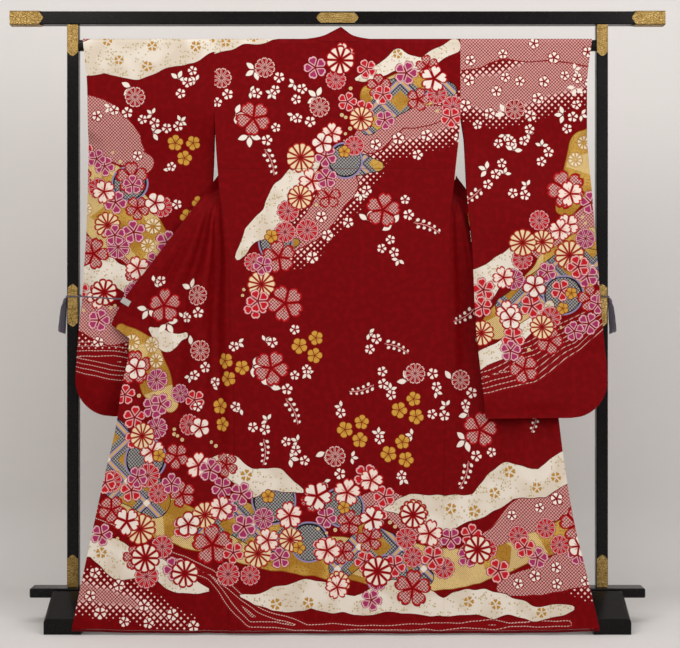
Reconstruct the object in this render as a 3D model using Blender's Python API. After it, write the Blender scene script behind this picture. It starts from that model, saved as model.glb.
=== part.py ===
"""A furisode hung by its sleeves on a lacquered kimono stand, its back to the viewer.

Both fronts are drawn outwards and tied to the posts by tasselled cords: the left one passes in
front of its sleeve, the right one behind. Metres, +Z up, the viewer at -Y, +X to the viewer's
right. The origin is at the middle of the footprint, on the floor.
"""

import math

import bmesh
import bpy
import numpy as np

# Stand
POST_Y = 0.0074
BEAM_LENGTH = 1.755
BEAM_SIDE = 0.035
BEAM_BOTTOM = 1.6065
POST_X = 0.710
POST_SIDE = 0.031
ROD_DEPTH = 0.026
ROD_HEIGHT = 0.030
ROD_ROUND = 0.010
ROD_TOP = 1.5667
RAIL_LENGTH = 1.646
RAIL_DEPTH = 0.060
RAIL_BOTTOM = 0.071
RAIL_HEIGHT = 0.025
FOOT_X = 0.712
FOOT_LENGTH = 0.330
FOOT_WIDTH = 0.097
PLINTH_HEIGHT = 0.041
FOOT_HEIGHT = 0.091
FOOT_SHELF = 0.050
FOOT_ROUND = 0.009
EDGE = 0.0025
SEAT = 0.0003
PLATE = 0.0010
CAP_LENGTH = 0.078
CAP_POINT = 0.011

# Cloth
CLOTH = 0.0020
SEAM = 0.0003
REST_GAP = 0.0009
ARM_X = 0.3295
ARM_DROP = 0.187
CUFF_DROP = 0.235
SHOULDER_TO_HEM = 1.573
LEAN = 0.160
LEAN_POWER = 1.6
NECK_SEAM_X = 0.105
NECK_EDGE_X = 0.050
NECK_FLAT_X = 0.040
NECK_STATIONS = 6
NECK_DROP = 0.0193
NECK_GAP = 0.0009
COLLAR_PEAK = 1.6010
COLLAR_LEAN = 0.0070
NECK_EDGE_Z = 1.5700
COLLAR_WIDTH = 0.055
COLLAR_SHARE = 0.30
CLIP_Z = 0.866
COLLAR_END_Z = 0.800
COLLAR_END_SLANT = 0.034
TAKE_IN = 0.055
TAKE_IN_Z = 1.205
TAKE_IN_SPREAD = 0.060
TAKE_IN_TURN_ABOVE, TAKE_IN_TURN_BELOW = 0.35, 0.75
TAKE_IN_ROUND = 0.13
SLEEVE_BOTTOM = 0.5555
SLEEVE_ROUND = 0.100
SLEEVE_GAP = 0.0090
SEWN_GAP = CLOTH / 2 + 0.0003
SLEEVE_TAPER = 0.050
ROLL_RADIUS = 0.0034
ROLL_GAP = 0.0005
HEM_Z = 0.0050
CORNER_LIFT = 0.008

# Ties
CORD_RADIUS = 0.0022
TASSEL_TOP = 0.8745
TASSEL_HEAD = 0.0125
TASSEL_BOTTOM = 0.7770
TASSEL_STRANDS = 6
TASSEL_OUT = 0.0078
TASSEL_ROOT_SIZE = (0.0056, 0.0050)
TASSEL_END_SIZE = (0.0112, 0.0072)
TASSEL_END_SHIFT = 0.0055
TASSEL_SLANT = 0.0035
TASSEL_RAGGED = 0.0022
CLIP_WIDTH = 0.016
CLIP_REACH = 0.020
CLIP_WALL = 0.0016
CLIP_CLEAR = 0.0005
CLIP_EYE = 0.0060

LEFT, RIGHT = -1, 1
SIDE_NAMES = {LEFT: "left", RIGHT: "right"}

# Half width of the back at the side seam, by height.
SIDE_SEAM = {
    LEFT: ((1.568, 0.3295), (1.390, 0.3295), (1.171, 0.3165), (1.077, 0.3026), (0.975, 0.2886),
           (0.787, 0.2824), (0.600, 0.2718), (0.460, 0.2700), (0.200, 0.2760), (0.000, 0.2830)),
    RIGHT: ((1.568, 0.3295), (1.390, 0.3295), (1.200, 0.3137), (1.077, 0.3000), (0.975, 0.2985),
            (0.787, 0.2930), (0.600, 0.2837), (0.460, 0.2793), (0.200, 0.2740), (0.000, 0.2760)),
}
# Centre back seam: x by height.
CENTRE_SEAM = ((1.568, 0.009), (1.000, 0.005), (0.500, 0.003), (0.000, -0.003))
# Sleeve's outer and inner edge, as distance from the middle, by height.
SLEEVE_OUTER = {
    LEFT: ((1.570, 0.6835), (1.432, 0.6710), (1.346, 0.6700), (1.198, 0.6730), (1.056, 0.6770),
           (0.975, 0.6820), (0.814, 0.6900), (0.733, 0.6950), (0.650, 0.7000), (0.550, 0.7010)),
    RIGHT: ((1.570, 0.6830), (1.440, 0.6690), (1.346, 0.6690), (1.260, 0.6730), (1.160, 0.6800),
            (1.042, 0.6870), (0.948, 0.6950), (0.835, 0.7034), (0.754, 0.7115), (0.687, 0.7165),
            (0.550, 0.7170)),
}
SLEEVE_INNER = {
    LEFT: ((1.570, 0.3295), (1.380, 0.3295), (1.292, 0.3315), (1.171, 0.3370), (1.100, 0.3450),
           (1.013, 0.3550), (0.803, 0.3620), (0.663, 0.3740), (0.558, 0.3850)),
    RIGHT: ((1.570, 0.3295), (1.380, 0.3295), (1.292, 0.3400), (1.166, 0.3446), (1.100, 0.3490),
            (1.013, 0.3570), (0.803, 0.3645), (0.663, 0.3780), (0.558, 0.3887)),
}
# Free front edge of the opened front, by height: distance from the middle, and depth behind the
# posts' middle. Below the collar's end it runs a collar's width outside the overlap's edge.
FRONT_EDGE = {
    LEFT: ((1.568, 0.050, 0.000), (1.557, 0.056, 0.0150), (1.535, 0.075, 0.0190),
           (1.400, 0.1750, 0.0185), (1.260, 0.2790, 0.0125), (1.180, 0.3380, -0.0040),
           (1.080, 0.4122, -0.0180), (0.960, 0.5012, -0.0290), (0.866, 0.5710, -0.0330),
           (0.800, 0.6030, -0.0360), (0.766, 0.6080, -0.0420), (0.729, 0.6090, -0.0480),
           (0.639, 0.6250, -0.0620), (0.531, 0.6390, -0.0820), (0.3985, 0.6670, -0.1080),
           (0.150, 0.7150, -0.1550), (0.000, 0.7430, -0.1730)),
    RIGHT: ((1.568, 0.050, 0.000), (1.557, 0.056, 0.0150), (1.535, 0.075, 0.0190),
            (1.400, 0.1750, 0.0200), (1.260, 0.2790, 0.0205), (1.180, 0.3380, 0.0200),
            (1.080, 0.4122, 0.0190), (0.960, 0.5012, 0.0180), (0.866, 0.5710, 0.0150),
            (0.800, 0.6030, 0.0060), (0.766, 0.6120, -0.0010), (0.670, 0.6270, -0.0210),
            (0.559, 0.6400, -0.0470), (0.458, 0.6500, -0.0740), (0.303, 0.6710, -0.1110),
            (0.150, 0.7030, -0.1490), (0.000, 0.7350, -0.1730)),
}
# Outer edge of the front body above the side seam, by height: distance from the middle, depth.
ARMHOLE_EDGE = ((1.568, 0.3295, 0.0000), (1.557, 0.3295, 0.0146), (1.390, 0.3295, 0.0146),
                (1.328, 0.3280, 0.0060), (1.268, 0.3245, -0.0100), (1.228, 0.3200, -0.0205),
                (1.188, 0.3150, -0.0295))
SIDE_SEAM_TOP = 1.188
# Cloth widths of the opened front: the body panel, and the overlap by height.
OVERLAP_TIP = 1.330
BODY_WIDTH = 0.250
OVERLAP_WIDTH = ((1.330, 0.006), (1.180, 0.050), (0.900, 0.110), (0.600, 0.140), (0.420, 0.150),
                 (0.000, 0.152))
# Soft folds of an opened front, fanning down from the armpit: place across the row (0 at the
# side seam, 1 at the free edge), half width on that scale, and depth towards the back.
FRONT_FOLDS = {
    LEFT: ((0.12, 0.060, 0.017), (0.28, 0.075, -0.009), (0.43, 0.060, 0.009),
           (0.57, 0.065, -0.008), (0.71, 0.055, 0.007), (0.84, 0.050, -0.004)),
    RIGHT: ((0.16, 0.070, 0.012), (0.33, 0.070, -0.008), (0.47, 0.060, 0.008),
            (0.61, 0.060, -0.007), (0.74, 0.055, 0.006), (0.85, 0.045, -0.004)),
}
# How deep those folds are, by height.
FOLD_STRENGTH = ((1.200, 0.00), (1.130, 0.06), (1.060, 0.55), (0.940, 1.00), (0.700, 1.00), (0.450, 0.75),
                 (0.200, 0.40), (0.000, 0.22))
# Shallow waves of the back: place across it (-1 left side seam, 1 right), half width, depth.
BACK_FOLDS = ((-0.78, 0.10, -0.0035), (-0.45, 0.16, 0.0025), (-0.12, 0.12, -0.0020),
              (0.30, 0.14, 0.0025), (0.62, 0.10, -0.0030), (0.84, 0.08, 0.0020))
# Shallow waves of a sleeve: place across it (0 inner edge, 1 outer), half width, depth.
SLEEVE_FOLDS = ((0.22, 0.10, 0.0040), (0.50, 0.13, -0.0045), (0.78, 0.09, 0.0035))

# Colours: sRGB red, green, blue in 0 to 1, then roughness and metallic value.
FINISHES = {
    "black_lacquer": ((0.045, 0.040, 0.042), 0.22, 0.0),
    "brass": ((0.80, 0.62, 0.27), 0.32, 1.0),
    "crimson_silk": ((0.56, 0.05, 0.08), 0.62, 0.0),
    "dark_red_lining": ((0.38, 0.03, 0.05), 0.60, 0.0),
    "purple_cord": ((0.33, 0.29, 0.35), 0.75, 0.0),
    "clear_clip": ((0.86, 0.86, 0.84), 0.25, 0.0),
}

ARC_STEPS = 4
DENSE = 181
BODY_COLUMNS, OVERLAP_COLUMNS, COLLAR_COLUMNS = 12, 5, 3
SLEEVE_COLUMNS = 9


def linear(value):
    """sRGB value of one channel as linear light."""
    return value / 12.92 if value <= 0.04045 else ((value + 0.055) / 1.055) ** 2.4


def finish(name):
    """The material of this name, made once."""
    made = bpy.data.materials.get(name)
    if made:
        return made
    colour, roughness, metallic = FINISHES[name]
    made = bpy.data.materials.new(name)
    made.use_nodes = True
    shader = made.node_tree.nodes["Principled BSDF"]
    shader.inputs["Base Color"].default_value = (*map(linear, colour), 1.0)
    shader.inputs["Roughness"].default_value = roughness
    shader.inputs["Metallic"].default_value = metallic
    return made


def clear_scene():
    for thing in list(bpy.data.objects):
        bpy.data.objects.remove(thing, do_unlink=True)


def add_object(name, mesh, material, place=(0.0, 0.0, 0.0)):
    mesh.materials.append(finish(material))
    made = bpy.data.objects.new(name, mesh)
    made.location = place
    bpy.context.scene.collection.objects.link(made)
    return made


def smooth(value):
    """Smooth step from 0 to 1."""
    value = np.clip(value, 0.0, 1.0)
    return value * value * (3.0 - 2.0 * value)


def through(rows, column, at):
    """A smooth curve (cubic Hermite, no overshoot) through one column of a table, by its first."""
    table = np.array(sorted(rows), float)
    keys, values = table[:, 0], table[:, column]
    rise = np.diff(values) / np.diff(keys)
    level = rise[1:] * rise[:-1] <= 0
    total = np.where(level, 1.0, rise[1:] + rise[:-1])
    slopes = np.zeros_like(values)
    slopes[1:-1] = np.where(level, 0.0, 2 * rise[1:] * rise[:-1] / total)
    slopes[0], slopes[-1] = rise[0], rise[-1]
    at = np.clip(np.asarray(at, float), keys[0], keys[-1])
    cell = np.clip(np.searchsorted(keys, at) - 1, 0, len(keys) - 2)
    span = keys[cell + 1] - keys[cell]
    part = (at - keys[cell]) / span
    step = values[cell + 1] - values[cell]
    ease = part * part * (3 - 2 * part)
    into = slopes[cell] * span * part * (1 - part) ** 2
    out = slopes[cell + 1] * span * part * part * (part - 1)
    return values[cell] + step * ease + into + out


def straight(rows, column, at):
    """Straight runs through one column of a table, by its first column."""
    table = np.array(sorted(rows), float)
    return np.interp(at, table[:, 0], table[:, column])


def bumps(folds, place):
    """Sum of soft ridges and troughs across a panel."""
    return sum(depth * np.exp(-(((place - at) / width) ** 2)) for at, width, depth in folds)


# How the cloth hangs over the rod: distance from the rod's middle plane, and height, after a
# length of cloth from the shoulder fold.
HANG_FLAT = ROD_DEPTH / 2 - ROD_ROUND
HANG_RADIUS = ROD_ROUND + REST_GAP + CLOTH / 2
HANG_ARC = HANG_RADIUS * math.pi / 2
STRAIGHT_FROM = HANG_FLAT + HANG_ARC
STRAIGHT_Z = ROD_TOP - ROD_ROUND


def hang(length):
    angle = np.clip((length - HANG_FLAT) / HANG_RADIUS, 0.0, math.pi / 2)
    depth = np.minimum(length, HANG_FLAT) + HANG_RADIUS * np.sin(angle)
    below = np.maximum(length - STRAIGHT_FROM, 0.0)
    return depth, STRAIGHT_Z + HANG_RADIUS * np.cos(angle) - below


def length_at(height):
    """Length of cloth from the shoulder fold down to a height below the rod's top."""
    return STRAIGHT_FROM + STRAIGHT_Z - height


def shoulder_lengths():
    """Cloth lengths of the rows that bend over the rod."""
    return np.concatenate([[0.0], HANG_FLAT + np.linspace(0, HANG_ARC, ARC_STEPS + 1)])


def rows_between(*stops):
    """Cloth lengths from the shoulder fold down: the bend, then (end, count) runs."""
    lengths = [shoulder_lengths()]
    start = STRAIGHT_FROM
    for end, count in stops:
        lengths.append(np.linspace(start, end, count + 1)[1:])
        start = end
    return np.concatenate(lengths)


def lean(length):
    """How far the back leans towards the viewer as it comes down."""
    return LEAN * (np.maximum(length, 0.0) / SHOULDER_TO_HEM) ** LEAN_POWER


def hem_lift(across):
    """The hem's rise towards the outer corners, across 0 to 1."""
    return CORNER_LIFT * across**3


def back_depth(length):
    return -hang(length)[0] - lean(length)


def back_stations():
    """Places across half the back at the shoulder: armhole, neck seam's end, centre back."""
    return np.concatenate([np.linspace(ARM_X, NECK_SEAM_X, 6)[:-1],
                           np.linspace(NECK_SEAM_X, 0.0, NECK_STATIONS)])


def back_panel(side, lengths):
    """Points of one half of the back. Rows run down, columns from the side seam to the middle.

    The top edge follows the neck seam, which dips below the shoulder between the collar's sides.
    """
    place = back_stations()[None, :]
    share = place / ARM_X
    dip = NECK_DROP * smooth((NECK_SEAM_X - place) / (NECK_SEAM_X - NECK_FLAT_X))
    length = dip + (SHOULDER_TO_HEM - dip) * (lengths[:, None] / SHOULDER_TO_HEM)
    _, height = hang(length)
    edge = through(SIDE_SEAM[side], 1, height) - SEAM / 2
    drift = straight(CENTRE_SEAM, 1, height) * np.maximum(0.0, 1.0 - place / NECK_SEAM_X)
    x = side * (edge * share + SEAM / 2 * (1.0 - share)) + drift
    wave = bumps(BACK_FOLDS, side * share) * smooth((length - 0.3) / 0.6)
    fade = smooth((1.0 - share) / 0.15)
    y = back_depth(length) + wave * fade
    y[lengths == 0.0] -= SEAM / 2
    return np.stack([x, POST_Y + y, height], axis=-1)


def outer_edge(side, height):
    """Front body's outer edge: the armhole, then the side seam just behind the back's edge."""
    behind = CLOTH + SEAM + 0.0001
    joined = height < SIDE_SEAM_TOP
    x = np.where(joined, through(SIDE_SEAM[side], 1, height), straight(ARMHOLE_EDGE, 1, height))
    seam_depth = back_depth(length_at(height)) + behind
    depth = np.where(joined, seam_depth, straight(ARMHOLE_EDGE, 2, height))
    return side * (x - SEAM / 2), depth


def front_rows(side, heights, length):
    """Dense rows of an opened front, from its outer edge to the free edge, and the fold offset.

    A row is the straight line between both edges, with a soft loop inwards where the cloth is
    taken in at the armpit, and the folds across it.
    """
    u = np.linspace(0.0, 1.0, DENSE)[None, :]
    height = heights[:, None]
    outer_x, outer_y = outer_edge(side, height)
    free_x = side * through(FRONT_EDGE[side], 1, height)
    free_y = through(FRONT_EDGE[side], 2, height)
    bend = length[:, None] < STRAIGHT_FROM
    outer_y = np.where(bend, hang(length[:, None])[0], outer_y)
    free_y = np.where(bend, hang(length[:, None])[0], free_y)
    taken = np.exp(-(((height - TAKE_IN_Z) / TAKE_IN_SPREAD) ** 2))
    loop = TAKE_IN * taken * np.sin(np.pi * u)
    chord = np.arctan2(free_y - outer_y, side * (free_x - outer_x))
    turned = chord - np.pi / 2
    facing = np.pi + turned * np.where(turned > 0, TAKE_IN_TURN_ABOVE, TAKE_IN_TURN_BELOW)
    part = u - TAKE_IN_ROUND * taken * np.sin(2 * np.pi * u)
    strength = through(FOLD_STRENGTH, 1, height)
    fold = bumps(FRONT_FOLDS[side], u) * strength * smooth(u / 0.06) * smooth((0.95 - u) / 0.09)
    x = outer_x + (free_x - outer_x) * part + side * loop * np.cos(facing)
    y = outer_y + (free_y - outer_y) * part + loop * np.sin(facing) + fold
    z = height + hem_lift(u) * smooth((0.25 - height) / 0.25)
    return np.stack([x, POST_Y + y, z + 0 * x], axis=-1)


def pick(rows, wanted):
    """Points at the wanted distances along each dense row."""
    steps = np.linalg.norm(np.diff(rows, axis=1), axis=2)
    run = np.concatenate([np.zeros((len(rows), 1)), np.cumsum(steps, axis=1)], axis=1)
    cell = (run[:, None, :] < wanted[:, :, None]).sum(axis=2) - 1
    cell = np.clip(cell, 0, rows.shape[1] - 2)
    low = np.take_along_axis(run, cell, axis=1)
    high = np.take_along_axis(run, cell + 1, axis=1)
    part = ((wanted - low) / (high - low))[..., None]
    start = np.take_along_axis(rows, cell[..., None].repeat(3, 2), axis=1)
    end = np.take_along_axis(rows, (cell + 1)[..., None].repeat(3, 2), axis=1)
    return start + (end - start) * part


def row_length(rows):
    return np.linalg.norm(np.diff(rows, axis=1), axis=2).sum(axis=1)


def spread(start, end, count):
    """Evenly spaced distances from start to end, a row for each."""
    return start[:, None] + (end - start)[:, None] * np.linspace(0, 1, count)[None, :]


def front_pieces(side, lengths):
    """Grids of the front body, overlap and collar run of one side, with their normals.

    All three are cut from the same rows, a seam's gap apart. Where a row is shorter than the
    cloth it stands for, the body and the overlap share it in proportion.
    """
    heights = hang(lengths)[1]
    rows = front_rows(side, heights, lengths)
    whole = row_length(rows)
    collar = np.minimum(COLLAR_WIDTH, whole * COLLAR_SHARE)
    overlap = np.where(heights <= OVERLAP_TIP, through(OVERLAP_WIDTH, 1, heights), 0.0)
    collar_seam = whole - collar
    body_end = collar_seam * BODY_WIDTH / (BODY_WIDTH + overlap)
    half = SEAM / 2
    wanted = np.concatenate([
        spread(0.0 * whole, body_end - half, BODY_COLUMNS),
        spread(body_end + half, collar_seam - half, OVERLAP_COLUMNS),
        spread(collar_seam + half, whole, COLLAR_COLUMNS)], axis=1)
    grid = pick(rows, wanted)
    step = 0.002
    along = pick(rows, wanted + step) - pick(rows, wanted - step)
    normal = np.cross(along, np.gradient(grid, axis=0)) if len(rows) > 1 else along
    normal /= np.linalg.norm(normal, axis=2, keepdims=True)
    cuts = (BODY_COLUMNS, BODY_COLUMNS + OVERLAP_COLUMNS)
    return heights, np.split(grid, cuts, axis=1), np.split(normal, cuts, axis=1)


def grid_normals(grid):
    down = np.gradient(grid, axis=0)
    along = np.gradient(grid, axis=1)
    normal = np.cross(along, down)
    return normal / np.linalg.norm(normal, axis=2, keepdims=True)


def wall_mesh(name, grid, normals=None):
    """Closed wall: the grid moved half a thickness to both sides and joined round its rim.

    Both upright rims are split the same way, so that two twisted edges lie flush along a seam.
    """
    normals = grid_normals(grid) if normals is None else normals
    rows, columns = grid.shape[:2]
    front = (grid + normals * CLOTH / 2).reshape(-1, 3)
    rear = (grid - normals * CLOTH / 2).reshape(-1, 3)
    index = np.arange(rows * columns).reshape(rows, columns)
    a, b = index[:-1, :-1].ravel(), index[:-1, 1:].ravel()
    c, d = index[1:, 1:].ravel(), index[1:, :-1].ravel()
    face = np.concatenate([np.stack([a, d, b], 1), np.stack([b, d, c], 1)])
    rim = np.concatenate([index[0, :], index[1:, -1], index[-1, -2::-1], index[-2:0:-1, 0]])
    after = np.roll(rim, -1)
    shift = rows * columns
    upward = np.arange(len(rim)) >= 2 * columns + rows - 3
    first = np.stack([rim, after, np.where(upward, rim, after) + shift], 1)
    second = np.stack([np.where(upward, after, rim), after + shift, rim + shift], 1)
    edge = np.concatenate([first, second])
    faces = np.concatenate([face, face[:, ::-1] + shift, edge])
    points = np.concatenate([front, rear])
    if np.linalg.det(points[faces]).sum() < 0:
        faces = faces[:, ::-1]
    mesh = bpy.data.meshes.new(name)
    mesh.from_pydata(points.tolist(), [], faces.tolist())
    mesh.update()
    return mesh


def add_wall(name, grid, normals=None):
    return add_object(name, wall_mesh(name, grid, normals), "crimson_silk")


def block_mesh(name, size, edge=0.0):
    """A box of this size about its origin, its edges chamfered."""
    mesh = bpy.data.meshes.new(name)
    shape = bmesh.new()
    bmesh.ops.create_cube(shape, size=1.0)
    bmesh.ops.scale(shape, vec=size, verts=shape.verts)
    if edge:
        bmesh.ops.bevel(shape, geom=shape.edges[:], offset=edge, segments=1, affect="EDGES")
    shape.to_mesh(mesh)
    shape.free()
    return mesh


def prism_mesh(name, outline, start, end, axis):
    """A closed outline carried straight along an axis (0 or 1) from start to end."""
    mesh = bpy.data.meshes.new(name)
    shape = bmesh.new()
    corners = []
    for across, height in outline:
        place = [start, across] if axis == 0 else [across, start]
        corners.append(shape.verts.new((*place, height)))
    bottom = shape.faces.new(corners)
    pushed = bmesh.ops.extrude_face_region(shape, geom=[bottom])["geom"]
    moved = [item for item in pushed if isinstance(item, bmesh.types.BMVert)]
    step = [0.0, 0.0, 0.0]
    step[axis] = end - start
    bmesh.ops.translate(shape, vec=step, verts=moved)
    bmesh.ops.recalc_face_normals(shape, faces=shape.faces)
    shape.to_mesh(mesh)
    shape.free()
    return mesh


def rounded_outline(width, height, radius, steps):
    """Outline of a rectangle with round corners, about its middle."""
    points = []
    for corner in range(4):
        turn = corner * math.pi / 2
        side_x = 1 if corner in (0, 3) else -1
        side_z = 1 if corner in (0, 1) else -1
        middle = (side_x * (width / 2 - radius), side_z * (height / 2 - radius))
        for step in range(steps + 1):
            angle = turn + step / steps * math.pi / 2
            points.append((middle[0] + radius * math.cos(angle),
                           middle[1] + radius * math.sin(angle)))
    return points


def make_beam():
    size = (BEAM_LENGTH, BEAM_SIDE, BEAM_SIDE)
    place = (0.0, POST_Y, BEAM_BOTTOM + BEAM_SIDE / 2)
    add_object("top_beam", block_mesh("top_beam", size, EDGE), "black_lacquer", place)


def make_posts():
    bottom = RAIL_BOTTOM + RAIL_HEIGHT + SEAT
    top = BEAM_BOTTOM - SEAT
    mesh = block_mesh("post", (POST_SIDE, POST_SIDE, top - bottom), EDGE)
    for side, word in SIDE_NAMES.items():
        place = (side * POST_X, POST_Y, (bottom + top) / 2)
        add_object(f"post_{word}", mesh.copy(), "black_lacquer", place)


def make_rod():
    outline = [(POST_Y + y, ROD_TOP - ROD_HEIGHT / 2 + z)
               for y, z in rounded_outline(ROD_DEPTH, ROD_HEIGHT, ROD_ROUND, ARC_STEPS)]
    reach = POST_X - POST_SIDE / 2 - SEAT
    mesh = prism_mesh("hanging_rod", outline, -reach, reach, 0)
    add_object("hanging_rod", mesh, "black_lacquer")


def make_rail():
    size = (RAIL_LENGTH, RAIL_DEPTH, RAIL_HEIGHT)
    place = (0.0, POST_Y, RAIL_BOTTOM + RAIL_HEIGHT / 2)
    add_object("bottom_rail", block_mesh("bottom_rail", size, EDGE), "black_lacquer", place)


def make_feet():
    """Each foot is a low plinth with sloping shoulders, notched to take the rail."""
    half = FOOT_LENGTH / 2
    notch = RAIL_DEPTH / 2 + SEAT
    notch_bottom = RAIL_BOTTOM - SEAT
    front = [(-half, 0.0), (-half, PLINTH_HEIGHT), (-FOOT_SHELF, FOOT_HEIGHT),
             (-notch, FOOT_HEIGHT), (-notch, notch_bottom)]
    outline = [(POST_Y + y, z) for y, z in front + [(-y, z) for y, z in reversed(front)]]
    for side, word in SIDE_NAMES.items():
        left = side * FOOT_X - FOOT_WIDTH / 2
        mesh = prism_mesh("foot", outline, left, left + FOOT_WIDTH, 0)
        shape = bmesh.new()
        shape.from_mesh(mesh)
        upper = [edge for edge in shape.edges
                 if min(vert.co.z for vert in edge.verts) > PLINTH_HEIGHT - SEAT
                 and max(vert.co.z for vert in edge.verts) > FOOT_HEIGHT - SEAT
                 and min(abs(vert.co.y - POST_Y) for vert in edge.verts) > notch + SEAT
                 and abs(edge.verts[0].co.x - edge.verts[1].co.x) < SEAT]
        bmesh.ops.bevel(shape, geom=upper, offset=FOOT_ROUND, segments=3, profile=0.5,
                        affect="EDGES")
        shape.to_mesh(mesh)
        shape.free()
        add_object(f"foot_{word}", mesh, "black_lacquer")


def plate_outline(width, length, pointed_top, pointed_bottom):
    """Upright brass plate: straight sides, and ends that come to a low shouldered point."""
    half, point = width / 2, width * 0.42
    top, bottom = length / 2, -length / 2
    outline = []
    if pointed_bottom:
        outline += [(-half, bottom + point), (-half * 0.45, bottom + point * 0.30),
                    (0.0, bottom), (half * 0.45, bottom + point * 0.30), (half, bottom + point)]
    else:
        outline += [(-half, bottom), (half, bottom)]
    if pointed_top:
        outline += [(half, top - point), (half * 0.45, top - point * 0.30),
                    (0.0, top), (-half * 0.45, top - point * 0.30), (-half, top - point)]
    else:
        outline += [(half, top), (-half, top)]
    return outline


# Post fittings: name, middle height, length, width, pointed top, pointed bottom.
POST_FITTINGS = (
    ("top", 1.5633, 0.085, 0.029, False, True),
    ("middle", 0.8530, 0.115, 0.026, True, True),
    ("bottom", 0.1410, 0.087, 0.029, True, False),
)


def add_plate(name, outline, x, z):
    """A thin plate on the front of the stand's members."""
    face = POST_Y - POST_SIDE / 2 - SEAT
    moved = [(x + across, z + height) for across, height in outline]
    mesh = prism_mesh(name, moved, face - PLATE, face, 1)
    add_object(name, mesh, "brass")


def make_fittings():
    for word, height, length, width, top, bottom in POST_FITTINGS:
        for side, hand in SIDE_NAMES.items():
            outline = plate_outline(width, length, top, bottom)
            add_plate(f"post_{word}_fitting_{hand}", outline, side * POST_X, height)


def make_beam_plate():
    """The plate at the middle of the beam: a long hexagon, like a post plate on its side."""
    outline = [(z, x) for x, z in plate_outline(0.027, 0.113, True, True)][::-1]
    face = POST_Y - BEAM_SIDE / 2 - SEAT
    moved = [(across, BEAM_BOTTOM + BEAM_SIDE / 2 + height) for across, height in outline]
    add_object("beam_plate", prism_mesh("beam_plate", moved, face - PLATE, face, 1), "brass")


def make_beam_caps():
    """Brass caps over the beam's ends: an eight-sided sleeve, closed outside, pointed inside."""
    for side, word in SIDE_NAMES.items():
        rings = []
        for grow, closed in ((SEAT + PLATE, SEAT + PLATE), (SEAT, SEAT)):
            half = BEAM_SIDE / 2 + grow
            cut = half - EDGE
            ring = [(-cut, -half), (0.0, -half), (cut, -half), (half, -cut), (half, 0.0),
                    (half, cut), (cut, half), (0.0, half), (-cut, half), (-half, cut),
                    (-half, 0.0), (-half, -cut)]
            end_x = BEAM_LENGTH / 2 + closed
            rings.append((ring, end_x))
        mesh = bpy.data.meshes.new(f"beam_cap_{word}")
        shape = bmesh.new()
        inner_x = BEAM_LENGTH / 2 - CAP_LENGTH
        loops = []
        for ring, end_x in rings:
            mouth, end = [], []
            for y, z in ring:
                reach = CAP_POINT if 0.0 in (y, z) else 0.0
                height = BEAM_BOTTOM + BEAM_SIDE / 2 + z
                mouth.append(shape.verts.new((side * (inner_x - reach), POST_Y + y, height)))
                end.append(shape.verts.new((side * end_x, POST_Y + y, height)))
            loops.append((mouth, end))
        (outer_mouth, outer_end), (inner_mouth, inner_end) = loops
        count = len(outer_mouth)
        for i in range(count):
            j = (i + 1) % count
            shape.faces.new((outer_mouth[i], outer_mouth[j], outer_end[j], outer_end[i]))
            shape.faces.new((inner_mouth[j], inner_mouth[i], inner_end[i], inner_end[j]))
            shape.faces.new((outer_mouth[j], outer_mouth[i], inner_mouth[i], inner_mouth[j]))
        shape.faces.new(outer_end)
        shape.faces.new(inner_end[::-1])
        bmesh.ops.recalc_face_normals(shape, faces=shape.faces)
        shape.to_mesh(mesh)
        shape.free()
        add_object(f"beam_cap_{word}", mesh, "brass")


CLOTH_END = length_at(HEM_Z + 2 * ROLL_RADIUS + ROLL_GAP)
BACK_ROWS = rows_between((ARM_DROP, 3), (0.45, 5), (1.0, 7), (CLOTH_END, 7))
CLIP_ROWS = length_at(CLIP_Z + np.array([0.010, -0.010]))
COLLAR_END_ROWS = length_at(COLLAR_END_Z + np.array([0.012, -COLLAR_END_SLANT]))
FRONT_ROWS = rows_between((0.07, 1), (ARM_DROP, 2), (0.275, 3), (0.455, 12), (CLIP_ROWS[0], 5),
                          (CLIP_ROWS[1], 1), (COLLAR_END_ROWS[0], 1), (COLLAR_END_ROWS[1], 1),
                          (1.00, 3), (CLOTH_END, 7))
SLEEVE_ROWS = rows_between((ARM_DROP, 3), (CUFF_DROP, 1), (0.30, 2), (0.90, 9),
                           (length_at(SLEEVE_BOTTOM + 0.02), 3),
                           (length_at(SLEEVE_BOTTOM + 0.005), 1),
                           (length_at(SLEEVE_BOTTOM), 1))


def make_back():
    for side, word in SIDE_NAMES.items():
        add_wall(f"back_{word}", back_panel(side, BACK_ROWS))


def chord_depth(side, x, height):
    """Depth of the opened front's straight row at a place, held past its free edge."""
    outer_x, outer_y = outer_edge(side, height)
    free_x = side * through(FRONT_EDGE[side], 1, height)
    free_y = through(FRONT_EDGE[side], 2, height)
    part = np.clip((x - outer_x) / (free_x - outer_x), 0.0, 1.0)
    return outer_y + (free_y - outer_y) * part


def sleeve_middle(side, x, height):
    """Depth of a sleeve's middle, which swings forward of the post at its outer edge.

    The left sleeve hangs behind its front, the right one lies on its own.
    """
    if side == LEFT:
        back = 0.012 * smooth((1.39 - height) / 0.15) * smooth((height - 0.80) / 0.25)
        forward = 0.031 * smooth((0.885 - height) / 0.13) * smooth((np.abs(x) - 0.50) / 0.18)
        return back - forward
    low = np.minimum(height, SIDE_SEAM_TOP - 0.01)
    resting = np.minimum(chord_depth(side, x, low) - 0.030, -0.038)
    return resting * smooth((1.34 - height) / 0.30)


def sleeve_outline(side, height):
    inner = through(SLEEVE_INNER[side], 1, height)
    outer = through(SLEEVE_OUTER[side], 1, height)
    over = np.clip(SLEEVE_ROUND - (height - SLEEVE_BOTTOM), 0.0, SLEEVE_ROUND)
    rounding = SLEEVE_ROUND - np.sqrt(SLEEVE_ROUND**2 - over**2)
    return inner + SEAM / 2, outer - rounding


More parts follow.
